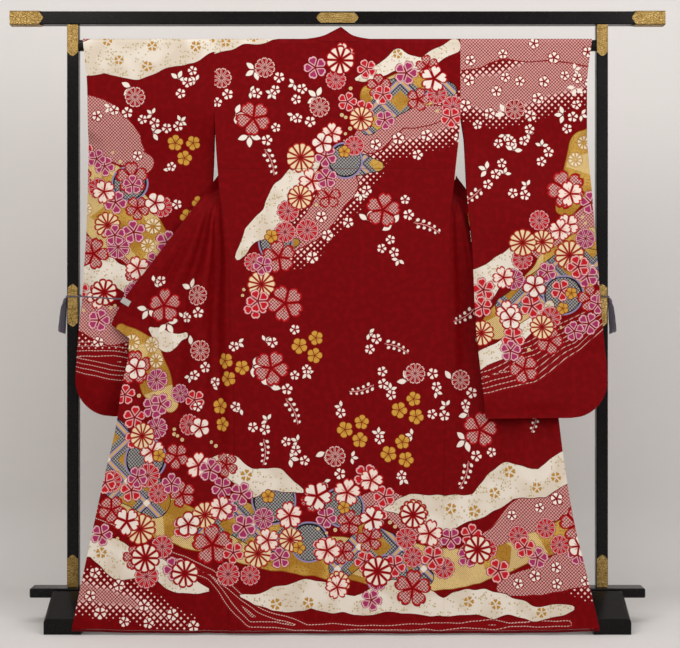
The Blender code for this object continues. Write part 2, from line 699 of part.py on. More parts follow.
def sleeve_wall(side, face, lengths):
    """Points of one wall of a sleeve: face -1 is the back's side, 1 the front's side."""
    length = lengths[:, None]
    depth, height = hang(length)
    inner, outer = sleeve_outline(side, height)
    across = np.linspace(0.0, 1.0, SLEEVE_COLUMNS)[None, :]
    x = side * (inner + (outer - inner) * across)
    from_outer = (outer - inner) * (1 - across)
    open_cuff = SLEEVE_TAPER * (1 - smooth((length - CUFF_DROP) / 0.06))
    from_sewn = np.minimum(from_outer + open_cuff, np.abs(height - SLEEVE_BOTTOM))
    taper = smooth(from_sewn / SLEEVE_TAPER)
    gap = SLEEVE_GAP + (depth - SLEEVE_GAP) * (1 - smooth((length - ARM_DROP) / 0.25))
    gap = np.where(length < ARM_DROP, depth, gap)
    gap = SEWN_GAP + (gap - SEWN_GAP) * taper
    near_arm = 1 - smooth((np.abs(x) - ARM_X) / 0.09)
    shared = lean(length) * near_arm * (1 - smooth((length - ARM_DROP) / 0.12))
    wave = bumps(SLEEVE_FOLDS, across) * smooth((length - 0.25) / 0.4) * taper
    y = sleeve_middle(side, x, height) + face * gap + wave
    if face < 0:
        y = y - shared
    return np.stack([x, POST_Y + y, height + 0 * x], axis=-1)


def make_sleeves():
    for side, word in SIDE_NAMES.items():
        for face, layer in ((-1, "back"), (1, "front")):
            grid = sleeve_wall(side, face, SLEEVE_ROWS)
            grid[0, :, 1] += face * SEAM / 2
            add_wall(f"sleeve_{word}_{layer}", grid)


def neck_band(side):
    """Collar from the centre back to the shoulder, its seam on the neck, its edge standing up."""
    seam = back_panel(side, np.zeros(1))[0, -NECK_STATIONS:][::-1]
    part = np.linspace(0.0, 1.0, NECK_STATIONS)
    centre = straight(CENTRE_SEAM, 1, ROD_TOP) + side * SEAM
    edge_x = side * NECK_EDGE_X * part + centre * (1.0 - part)
    edge_y = POST_Y - COLLAR_LEAN * (1.0 - part)
    edge_z = COLLAR_PEAK + (NECK_EDGE_Z - COLLAR_PEAK) * part
    edge = np.stack([edge_x, edge_y, edge_z], axis=-1)
    away = edge - seam
    away /= np.linalg.norm(away, axis=1, keepdims=True)
    seam = seam + away * NECK_GAP
    seam[:, 1] += NECK_GAP * smooth(part / 0.5)
    seam[0, 0] += side * SEAM / 2
    across = np.linspace(0.0, 1.0, COLLAR_COLUMNS)[None, :, None]
    return seam[:, None, :] + (edge - seam)[:, None, :] * across


def slant_share():
    """How far each column of the collar runs on past its last full row, for its slanted end."""
    full, short = COLLAR_END_ROWS[1] - COLLAR_END_ROWS[0], length_at(COLLAR_END_Z) - COLLAR_END_ROWS[0]
    return np.linspace(1.0, short / full, COLLAR_COLUMNS)


def make_fronts():
    for side, word in SIDE_NAMES.items():
        heights, grids, normals = front_pieces(side, FRONT_ROWS)
        body, flap, band = grids
        body[0, :, 1] += SEAM / 2
        add_wall(f"front_{word}", body, normals[0])
        used = heights <= OVERLAP_TIP
        add_wall(f"overlap_{word}", flap[used], normals[1][used])
        last = int(np.searchsorted(FRONT_ROWS, COLLAR_END_ROWS[1] - SEAM))
        band[last] = band[last - 1] + (band[last] - band[last - 1]) * slant_share()[:, None]
        neck = neck_band(side)[:-1]
        collar = np.concatenate([neck, band[:last + 1]])
        facing = np.concatenate([grid_normals(neck), normals[2][:last + 1]])
        add_wall(f"collar_{word}", collar, facing)


def hem_path():
    """Middle line of the rolled hem, from one front corner to the other."""
    fronts = []
    for side in (LEFT, RIGHT):
        body, flap, _ = front_pieces(side, FRONT_ROWS[-1:])[1]
        fronts.append(np.concatenate([body[0], flap[0]]))
    left, right = (back_panel(side, BACK_ROWS[-1:])[0] for side in (LEFT, RIGHT))
    path = np.concatenate([fronts[0][::-1], left, right[::-1][1:], fronts[1]])
    path[:, 2] -= ROLL_RADIUS + ROLL_GAP
    return path


def tube_mesh(name, path, radius, sides):
    """A closed tube along a path, its section kept upright."""
    ahead = np.gradient(path, axis=0)
    ahead /= np.linalg.norm(ahead, axis=1, keepdims=True)
    up = np.array([0.0, 0.0, 1.0])
    level = np.abs(ahead @ up) > 0.9
    guide = np.where(level[:, None], np.array([[1.0, 0.0, 0.0]]), up[None, :])
    across = np.cross(ahead, guide)
    across /= np.linalg.norm(across, axis=1, keepdims=True)
    over = np.cross(across, ahead)
    turn = np.arange(sides) / sides * 2 * math.pi
    ring = (np.cos(turn)[None, :, None] * across[:, None, :]
            + np.sin(turn)[None, :, None] * over[:, None, :]) * radius
    points = (path[:, None, :] + ring).reshape(-1, 3)
    index = np.arange(len(path) * sides).reshape(len(path), sides)
    around = np.roll(index, -1, axis=1)
    quads = np.stack([index[:-1], around[:-1], around[1:], index[1:]], -1).reshape(-1, 4)
    faces = quads.tolist() + [index[0][::-1].tolist(), index[-1].tolist()]
    mesh = bpy.data.meshes.new(name)
    mesh.from_pydata(points.tolist(), [], faces)
    shape = bmesh.new()
    shape.from_mesh(mesh)
    bmesh.ops.recalc_face_normals(shape, faces=shape.faces)
    shape.to_mesh(mesh)
    shape.free()
    return mesh


def make_hem():
    add_object("hem_roll", tube_mesh("hem_roll", hem_path(), ROLL_RADIUS, 6), "dark_red_lining")


def clip_frame(side):
    """The free edge where the clip bites: its place, and the outward, along and facing axes."""
    band = front_pieces(side, CLIP_ROWS)[1][2]
    place, inner = band[:, -1].mean(axis=0), band[:, -2].mean(axis=0)
    along = band[0, -1] - band[1, -1]
    along /= np.linalg.norm(along)
    outward = place - inner
    outward -= along * (along @ outward)
    outward /= np.linalg.norm(outward)
    return place, outward, along, np.cross(outward, along)


def make_clips():
    """A clear clip: a bent strip astride the collar's edge, its nose drilled for the cord."""
    gap = CLOTH / 2 + CLIP_CLEAR
    outer = gap + CLIP_WALL
    outline = ((-CLIP_REACH, gap), (-CLIP_REACH, outer), (CLIP_CLEAR + CLIP_WALL, outer),
               (CLIP_EYE, CLIP_WALL), (CLIP_EYE, -CLIP_WALL), (CLIP_CLEAR + CLIP_WALL, -outer),
               (-CLIP_REACH, -outer), (-CLIP_REACH, -gap), (CLIP_CLEAR, -gap), (CLIP_CLEAR, gap))
    for side, word in SIDE_NAMES.items():
        place, outward, along, facing = clip_frame(side)
        mesh = bpy.data.meshes.new(f"clip_{word}")
        shape = bmesh.new()
        loops = []
        for end in (-0.5, 0.5):
            loops.append([shape.verts.new(place + outward * out + facing * off
                                          + along * end * CLIP_WIDTH) for out, off in outline])
        count = len(outline)
        for i in range(count):
            j = (i + 1) % count
            shape.faces.new((loops[0][i], loops[0][j], loops[1][j], loops[1][i]))
        shape.faces.new(loops[0][::-1])
        shape.faces.new(loops[1])
        bmesh.ops.recalc_face_normals(shape, faces=shape.faces)
        shape.to_mesh(mesh)
        shape.free()
        add_object(f"clip_{word}", mesh, "clear_clip")


# Route of the left cord from the clip round its post, the post's middle at x 0: out from the
# post towards the body, depth, height. The right one is its mirror image, from its own clip.
CORD_ROUTE = ((0.034, -0.0228, 0.8762), (0.0215, -0.0205, 0.8768),
              (0.0100, -0.0196, 0.8770), (-0.0080, -0.0196, 0.8770), (-0.0150, -0.0186, 0.8770),
              (-0.0180, -0.0150, 0.8770), (-0.0184, 0.0000, 0.8770), (-0.0180, 0.0150, 0.8770),
              (-0.0150, 0.0180, 0.8772), (0.0000, 0.0184, 0.8776), (0.0150, 0.0180, 0.8782),
              (0.0180, 0.0150, 0.8786), (0.0186, 0.0000, 0.8800), (0.0192, -0.0100, 0.8816),
              (0.0196, -0.0160, 0.8822))
CORD_START = {LEFT: ((0.098, -0.0300, 0.8715), (0.058, -0.0262, 0.8745)),
              RIGHT: ((0.098, 0.0060, 0.8715), (0.058, -0.0100, 0.8745))}
CORD_START_GAP = 0.0015
CORD_STEP = 0.006


def cord_path(side):
    """Points of one cord, read from a smooth curve through its route."""
    place, outward, _, _ = clip_frame(side)
    route = [place + outward * (CLIP_EYE + CORD_START_GAP)]
    for inward, depth, height in CORD_START[side] + CORD_ROUTE:
        route.append((side * (POST_X - inward), POST_Y + depth, height))
    route = np.array(route)
    run = np.concatenate([[0.0], np.cumsum(np.linalg.norm(np.diff(route, axis=0), axis=1))])
    wanted = np.linspace(0.0, run[-1], int(run[-1] / CORD_STEP))
    table = np.column_stack([run, route])
    return np.stack([through(table.tolist(), column, wanted) for column in (1, 2, 3)], axis=-1)


def make_cords():
    for side, word in SIDE_NAMES.items():
        curve = bpy.data.curves.new(f"cord_{word}", "CURVE")
        curve.dimensions = "3D"
        curve.bevel_depth = CORD_RADIUS
        curve.bevel_resolution = 1
        curve.use_fill_caps = True
        path = cord_path(side)
        spline = curve.splines.new("POLY")
        spline.points.add(len(path) - 1)
        for point, place in zip(spline.points, path):
            point.co = (*place, 1.0)
        add_object(f"cord_{word}", curve, "purple_cord")


# A tassel head's rings: radius, how far it leans in under the cord, and height on the head.
TASSEL_RINGS = ((0.0062, 0.0, 0.35), (0.0046, 0.0022, 0.75), (0.0022, 0.0043, 1.0))


def make_tassels():
    """Each tassel is a small head whose underside is drawn out into separate square strands."""
    count = TASSEL_STRANDS
    steps = np.linspace(-1.0, 1.0, count + 1)
    rim = [(i, 0) for i in range(count)] + [(count, j) for j in range(count)]
    rim += [(i, count) for i in range(count, 0, -1)] + [(0, j) for j in range(count, 0, -1)]
    for side, word in SIDE_NAMES.items():
        middle = (side * (POST_X + POST_SIDE / 2 + TASSEL_OUT), POST_Y)
        root = TASSEL_TOP - TASSEL_HEAD
        shape = bmesh.new()

        def corner(across, back, size_x, size_y, shift, height):
            return shape.verts.new((middle[0] + side * (shift + across * size_x),
                                    middle[1] + back * size_y, height))

        grid = [[corner(a, b, *TASSEL_ROOT_SIZE, 0.0, root) for b in steps] for a in steps]
        rings = [[grid[i][j] for i, j in rim]]
        for size, inwards, part in TASSEL_RINGS:
            turn = [math.atan2(steps[j], steps[i]) for i, j in rim]
            rings.append([corner(math.cos(t), math.sin(t), size, size * 0.9, -inwards,
                                 root + part * TASSEL_HEAD) for t in turn])
        for low, high in zip(rings, rings[1:]):
            for i in range(len(rim)):
                j = (i + 1) % len(rim)
                shape.faces.new((low[i], low[j], high[j], high[i]))
        shape.faces.new(rings[-1])
        for i in range(count):
            for j in range(count):
                corners = [grid[i][j], grid[i + 1][j], grid[i + 1][j + 1], grid[i][j + 1]]
                centre = ((steps[i] + steps[i + 1]) / 2, (steps[j] + steps[j + 1]) / 2)
                half = 1.0 / count
                around = [(-1, -1), (1, -1), (1, 1), (-1, 1)]
                ragged = TASSEL_RAGGED * math.sin(2.4 * i + 1.7 * j)
                level = TASSEL_BOTTOM + ragged + TASSEL_SLANT * (1.0 - centre[0])
                inset = [corner(centre[0] + x * half * 0.72, centre[1] + y * half * 0.72,
                                *TASSEL_ROOT_SIZE, 0.0, root) for x, y in around]
                ends = [corner(centre[0] + x * half * 0.62, centre[1] + y * half * 0.62,
                               *TASSEL_END_SIZE, TASSEL_END_SHIFT, level) for x, y in around]
                for k in range(4):
                    m = (k + 1) % 4
                    shape.faces.new((corners[k], corners[m], inset[m], inset[k]))
                    shape.faces.new((inset[k], inset[m], ends[m], ends[k]))
                shape.faces.new(ends)
        bmesh.ops.recalc_face_normals(shape, faces=shape.faces)
        mesh = bpy.data.meshes.new(f"tassel_{word}")
        shape.to_mesh(mesh)
        shape.free()
        add_object(f"tassel_{word}", mesh, "purple_cord")


def main():
    clear_scene()
    make_beam()
    make_posts()
    make_rod()
    make_rail()
    make_feet()
    make_fittings()
    make_beam_plate()
    make_beam_caps()
    make_back()
    make_sleeves()
    make_fronts()
    make_hem()
    make_clips()
    make_cords()
    make_tassels()


main()
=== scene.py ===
"""Furisode on a lacquered kimono stand: cloth, print, cords, metal, floor and light on the frame.

Metres, the frame's own axes. Every cloth surface is worked out from the same tables and formulas
as the CAD solids, on a finer grid, so that each visible piece lies on the solid it stands for.
The solids are parted at their seams, the pieces here meet.
"""

import math

import bpy
import mathutils
import numpy as np
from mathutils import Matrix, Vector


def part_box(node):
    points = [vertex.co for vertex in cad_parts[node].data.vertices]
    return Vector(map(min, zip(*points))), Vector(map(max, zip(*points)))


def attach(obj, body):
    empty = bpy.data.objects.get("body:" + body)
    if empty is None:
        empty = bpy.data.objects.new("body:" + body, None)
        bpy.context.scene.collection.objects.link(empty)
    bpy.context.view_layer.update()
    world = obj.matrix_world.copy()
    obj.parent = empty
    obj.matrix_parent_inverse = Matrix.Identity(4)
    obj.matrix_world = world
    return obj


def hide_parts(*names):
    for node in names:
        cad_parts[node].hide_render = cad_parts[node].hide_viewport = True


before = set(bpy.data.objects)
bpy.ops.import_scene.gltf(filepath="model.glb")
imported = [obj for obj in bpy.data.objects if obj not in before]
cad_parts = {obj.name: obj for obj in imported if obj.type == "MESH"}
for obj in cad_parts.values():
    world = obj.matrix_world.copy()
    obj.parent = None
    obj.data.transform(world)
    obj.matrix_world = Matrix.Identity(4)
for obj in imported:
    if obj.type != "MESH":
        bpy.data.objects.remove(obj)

bl_info = {
    "name": "Furisode on a kimono stand",
    "version": (1, 0, 0),
    "blender": (4, 5, 0),
    "location": "3D View > Sidebar > Furisode",
    "description": "Builds the furisode's cloth, ties, fittings and stage on the CAD frame",
    "category": "Object",
}

LEFT, RIGHT = -1, 1
SIDE_NAMES = {LEFT: "left", RIGHT: "right"}
POST_LOW, POST_HIGH = (np.array(corner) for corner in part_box("post_left"))
POST_Y = float(POST_LOW[1] + POST_HIGH[1]) / 2
POST_X = -float(POST_LOW[0] + POST_HIGH[0]) / 2
POST_SIDE = float(POST_HIGH[1] - POST_LOW[1])
ROD_LOW, ROD_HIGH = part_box("hanging_rod")
ROD_DEPTH = float(ROD_HIGH[1] - ROD_LOW[1])
ROD_TOP = float(ROD_HIGH[2])

# Radius of the hanging rod's long edges.
ROD_ROUND = 0.010
# Cloth: a wall's thickness, the gap under it where it rests, and the gap at the side seam.
CLOTH = 0.0020
REST_GAP = 0.0009
SIDE_SEAM_GAP = 0.0001
# Shoulder: half the width between the sleeves' seams, and how far down each sleeve is sewn on and
# its cuff is open.
ARM_X = 0.3295
ARM_DROP = 0.187
CUFF_DROP = 0.235
# Back: its length, and how far the hem stands out towards the viewer, by this power of the length.
SHOULDER_TO_HEM = 1.573
LEAN = 0.160
LEAN_POWER = 1.6
# Neck seam: its end, its level middle and its dip below the shoulder. The band's gap and edge.
NECK_SEAM_X = 0.105
NECK_FLAT_X = 0.040
NECK_DROP = 0.0193
NECK_GAP = 0.0009
NECK_EDGE_X = 0.050
NECK_EDGE_Z = 1.5700
# Collar: its peak at the centre back and how far it leans, its width and the share of a short row
# that it takes, where the clip bites, and its slanted end.
COLLAR_PEAK = 1.6010
COLLAR_LEAN = 0.0070
COLLAR_WIDTH = 0.055
COLLAR_SHARE = 0.30
CLIP_Z = 0.866
COLLAR_END_Z = 0.800
COLLAR_END_SLANT = 0.034
# The loop of cloth taken in at the armpit of an opened front: depth, height, how far it spreads,
# how it turns with the row above and below, and how round it is.
TAKE_IN = 0.055
TAKE_IN_Z = 1.205
TAKE_IN_SPREAD = 0.060
TAKE_IN_TURN_ABOVE, TAKE_IN_TURN_BELOW = 0.35, 0.75
TAKE_IN_ROUND = 0.13
# Sleeves: bottom edge, rounded corner, half the gap between the walls, open and where they are
# sewn together, and the width over which it closes.
SLEEVE_BOTTOM = 0.5555
SLEEVE_ROUND = 0.100
SLEEVE_GAP = 0.0090
SEWN_GAP = CLOTH / 2 + 0.0003
SLEEVE_TAPER = 0.050
# The left sleeve swings back behind its front, and forward of the post lower down. The right one
# lies this far off its front, and at least this far off the posts' middle.
LEFT_SLEEVE_BACK, LEFT_SLEEVE_FORWARD = 0.012, 0.031
RIGHT_SLEEVE_OFF_FRONT, RIGHT_SLEEVE_OFF_POST = 0.030, 0.038
# Hem: the roll's radius and its gap to the cloth, its height, and its rise at the outer corners.
ROLL_RADIUS = 0.0034
ROLL_GAP = 0.0005
HEM_Z = 0.0050
CORNER_LIFT = 0.008
# Ties: the cord's radius and the length of a turn of its strands, the clip's eye, the tassel.
CORD_RADIUS = 0.0022
CORD_LAY = 0.0085
CLIP_EYE = 0.0060
TASSEL_TOP = 0.8745
TASSEL_HEAD = 0.0125
TASSEL_BOTTOM = 0.7770
TASSEL_OUT = 0.0078
TASSEL_SLANT = 0.0035
TASSEL_STRANDS = 112
# Core of the tassel's head: height above its root, lean towards the post, radius.
TASSEL_CORE = ((0.0125, 0.0043, 0.0012), (0.0105, 0.0036, 0.0034), (0.0060, 0.0012, 0.0056),
               (0.0000, 0.0000, 0.0058), (-0.0030, 0.0000, 0.0052))
# Nail heads of the fittings.
NAIL_RADIUS, NAIL_HEIGHT = 0.0021, 0.0011
# Half width of the back at the side seam, by height.
SIDE_SEAM = {
    LEFT: ((1.568, 0.3295), (1.390, 0.3295), (1.171, 0.3165), (1.077, 0.3026), (0.975, 0.2886),
           (0.787, 0.2824), (0.600, 0.2718), (0.460, 0.2700), (0.200, 0.2760), (0.000, 0.2830)),
    RIGHT: ((1.568, 0.3295), (1.390, 0.3295), (1.200, 0.3137), (1.077, 0.3000), (0.975, 0.2985),
            (0.787, 0.2930), (0.600, 0.2837), (0.460, 0.2793), (0.200, 0.2740), (0.000, 0.2760)),
}
# Centre back seam: x by height.
CENTRE_SEAM = ((1.568, 0.009), (1.000, 0.005), (0.500, 0.003), (0.000, -0.003))
# Sleeve's outer and inner edge, as distance from the middle, by height.
SLEEVE_OUTER = {
    LEFT: ((1.570, 0.6835), (1.432, 0.6710), (1.346, 0.6700), (1.198, 0.6730), (1.056, 0.6770),
           (0.975, 0.6820), (0.814, 0.6900), (0.733, 0.6950), (0.650, 0.7000), (0.550, 0.7010)),
    RIGHT: ((1.570, 0.6830), (1.440, 0.6690), (1.346, 0.6690), (1.260, 0.6730), (1.160, 0.6800),
            (1.042, 0.6870), (0.948, 0.6950), (0.835, 0.7034), (0.754, 0.7115), (0.687, 0.7165),
            (0.550, 0.7170)),
}
SLEEVE_INNER = {
    LEFT: ((1.570, 0.3295), (1.380, 0.3295), (1.292, 0.3315), (1.171, 0.3370), (1.100, 0.3450),
           (1.013, 0.3550), (0.803, 0.3620), (0.663, 0.3740), (0.558, 0.3850)),
    RIGHT: ((1.570, 0.3295), (1.380, 0.3295), (1.292, 0.3400), (1.166, 0.3446), (1.100, 0.3490),
            (1.013, 0.3570), (0.803, 0.3645), (0.663, 0.3780), (0.558, 0.3887)),
}
# Free front edge of the opened front, by height: distance from the middle, and depth behind the
# posts' middle. Below the collar's end it runs a collar's width outside the overlap's edge.
FRONT_EDGE = {
    LEFT: ((1.568, 0.050, 0.000), (1.557, 0.056, 0.0150), (1.535, 0.075, 0.0190),
           (1.400, 0.1750, 0.0185), (1.260, 0.2790, 0.0125), (1.180, 0.3380, -0.0040),
           (1.080, 0.4122, -0.0180), (0.960, 0.5012, -0.0290), (0.866, 0.5710, -0.0330),
           (0.800, 0.6030, -0.0360), (0.766, 0.6080, -0.0420), (0.729, 0.6090, -0.0480),
           (0.639, 0.6250, -0.0620), (0.531, 0.6390, -0.0820), (0.3985, 0.6670, -0.1080),
           (0.150, 0.7150, -0.1550), (0.000, 0.7430, -0.1730)),
    RIGHT: ((1.568, 0.050, 0.000), (1.557, 0.056, 0.0150), (1.535, 0.075, 0.0190),
            (1.400, 0.1750, 0.0200), (1.260, 0.2790, 0.0205), (1.180, 0.3380, 0.0200),
            (1.080, 0.4122, 0.0190), (0.960, 0.5012, 0.0180), (0.866, 0.5710, 0.0150),
            (0.800, 0.6030, 0.0060), (0.766, 0.6120, -0.0010), (0.670, 0.6270, -0.0210),
            (0.559, 0.6400, -0.0470), (0.458, 0.6500, -0.0740), (0.303, 0.6710, -0.1110),
            (0.150, 0.7030, -0.1490), (0.000, 0.7350, -0.1730)),
}
# Outer edge of the front body above the side seam, by height: distance from the middle, depth.
ARMHOLE_EDGE = ((1.568, 0.3295, 0.0000), (1.557, 0.3295, 0.0146), (1.390, 0.3295, 0.0146),
                (1.328, 0.3280, 0.0060), (1.268, 0.3245, -0.0100), (1.228, 0.3200, -0.0205),
                (1.188, 0.3150, -0.0295))
SIDE_SEAM_TOP = 1.188
# Cloth widths of the opened front: the body panel, and the overlap by height.
OVERLAP_TIP = 1.330
BODY_WIDTH = 0.250
OVERLAP_WIDTH = ((1.330, 0.006), (1.180, 0.050), (0.900, 0.110), (0.600, 0.140), (0.420, 0.150),
                 (0.000, 0.152))
# Soft folds of an opened front, fanning down from the armpit: place across the row (0 at the
# side seam, 1 at the free edge), half width on that scale, and depth towards the back.
FRONT_FOLDS = {
    LEFT: ((0.12, 0.060, 0.017), (0.28, 0.075, -0.009), (0.43, 0.060, 0.009),
           (0.57, 0.065, -0.008), (0.71, 0.055, 0.007), (0.84, 0.050, -0.004)),
    RIGHT: ((0.16, 0.070, 0.012), (0.33, 0.070, -0.008), (0.47, 0.060, 0.008),
            (0.61, 0.060, -0.007), (0.74, 0.055, 0.006), (0.85, 0.045, -0.004)),
}
# How deep those folds are, by height.
FOLD_STRENGTH = ((1.200, 0.00), (1.130, 0.06), (1.060, 0.55), (0.940, 1.00), (0.700, 1.00),
                 (0.450, 0.75), (0.200, 0.40), (0.000, 0.22))
# Shallow waves of the back: place across it (-1 left side seam, 1 right), half width, depth.
BACK_FOLDS = ((-0.78, 0.10, -0.0035), (-0.45, 0.16, 0.0025), (-0.12, 0.12, -0.0020),
              (0.30, 0.14, 0.0025), (0.62, 0.10, -0.0030), (0.84, 0.08, 0.0020))
# Shallow waves of a sleeve: place across it (0 inner edge, 1 outer), half width, depth.
SLEEVE_FOLDS = ((0.22, 0.10, 0.0040), (0.50, 0.13, -0.0045), (0.78, 0.09, 0.0035))

# Grids: rows in the bend over the rod, points of a dense row, columns at the neck and across each
# panel, rows of the collar's slanted end, rings of the hem roll, and length of a cord's ring.
ARC_STEPS = 8
DENSE = 241
NECK_STATIONS = 22
BODY_COLUMNS, OVERLAP_COLUMNS, COLLAR_COLUMNS = 50, 30, 12
SLEEVE_COLUMNS = 75
COLLAR_END_STEPS = 8
HEM_STEPS = 420
CORD_FINE_STEP = 0.0012
# Widest column of a printed wall: each face takes its nearest blossom, so wider ones cut blossoms.
PRINT_CELL = 0.0065


def metres(table):
    """A table of millimetres, nested to any depth, in metres."""
    return tuple(metres(row) for row in table) if isinstance(table, tuple) else table / 1000


# Fine creases laid over the broad folds, in millimetres: the two ends of each on the print chart
# (place across, height), half width and depth. Negative depths are ridges.
BODY_CREASES = metres((
    (-322, 1175, -420, 900, 12, 4), (-325, 1165, -365, 760, 10, 4.5),
    (-330, 1170, -480, 960, 9, -2.8), (-326, 1150, -345, 560, 12, 5),
    (-335, 1140, -395, 640, 11, -3), (-300, 1150, -290, 480, 14, -3),
    (322, 1175, 430, 920, 10, 3.2), (325, 1160, 372, 790, 9, 4), (330, 1170, 485, 980, 9, -2.4),
    (320, 1150, 340, 620, 12, 4), (250, 980, 262, 420, 16, 2.2), (-215, 900, -235, 260, 18, -2.4),
    (105, 620, 118, 120, 20, 2), (-75, 560, -85, 80, 18, -1.8), (-455, 420, -490, 60, 16, 2.6),
    (-560, 330, -600, 50, 14, -2.2), (455, 460, 500, 60, 16, 2.6), (585, 360, 625, 60, 13, -2.2),
    (-245, 1520, -180, 1380, 12, 1.2), (235, 1515, 190, 1360, 13, 1.2),
    (-90, 1490, 20, 1440, 10, 0.8), (30, 1300, 36, 980, 16, -0.9), (-610, 840, -520, 800, 8, 3),
    (-600, 880, -500, 930, 8, -2.4), (610, 845, 520, 800, 8, 2.6), (600, 880, 500, 935, 8, -2.2),
))
SLEEVE_CREASES = metres((
    (345, 1380, 470, 1120, 14, 2.4), (350, 1300, 400, 920, 12, -2), (560, 1450, 575, 760, 20, 2.2),
    (640, 1380, 655, 900, 14, -2), (450, 980, 470, 600, 18, 2), (395, 760, 500, 585, 14, -1.6),
    (610, 820, 560, 610, 15, 1.6), (420, 1530, 430, 1380, 12, 1),
))
# The tuck sewn across the back: height, depth and half width.
TUCK_Z, TUCK_DEPTH, TUCK_SPREAD = 1.2180, 0.0007, 0.004

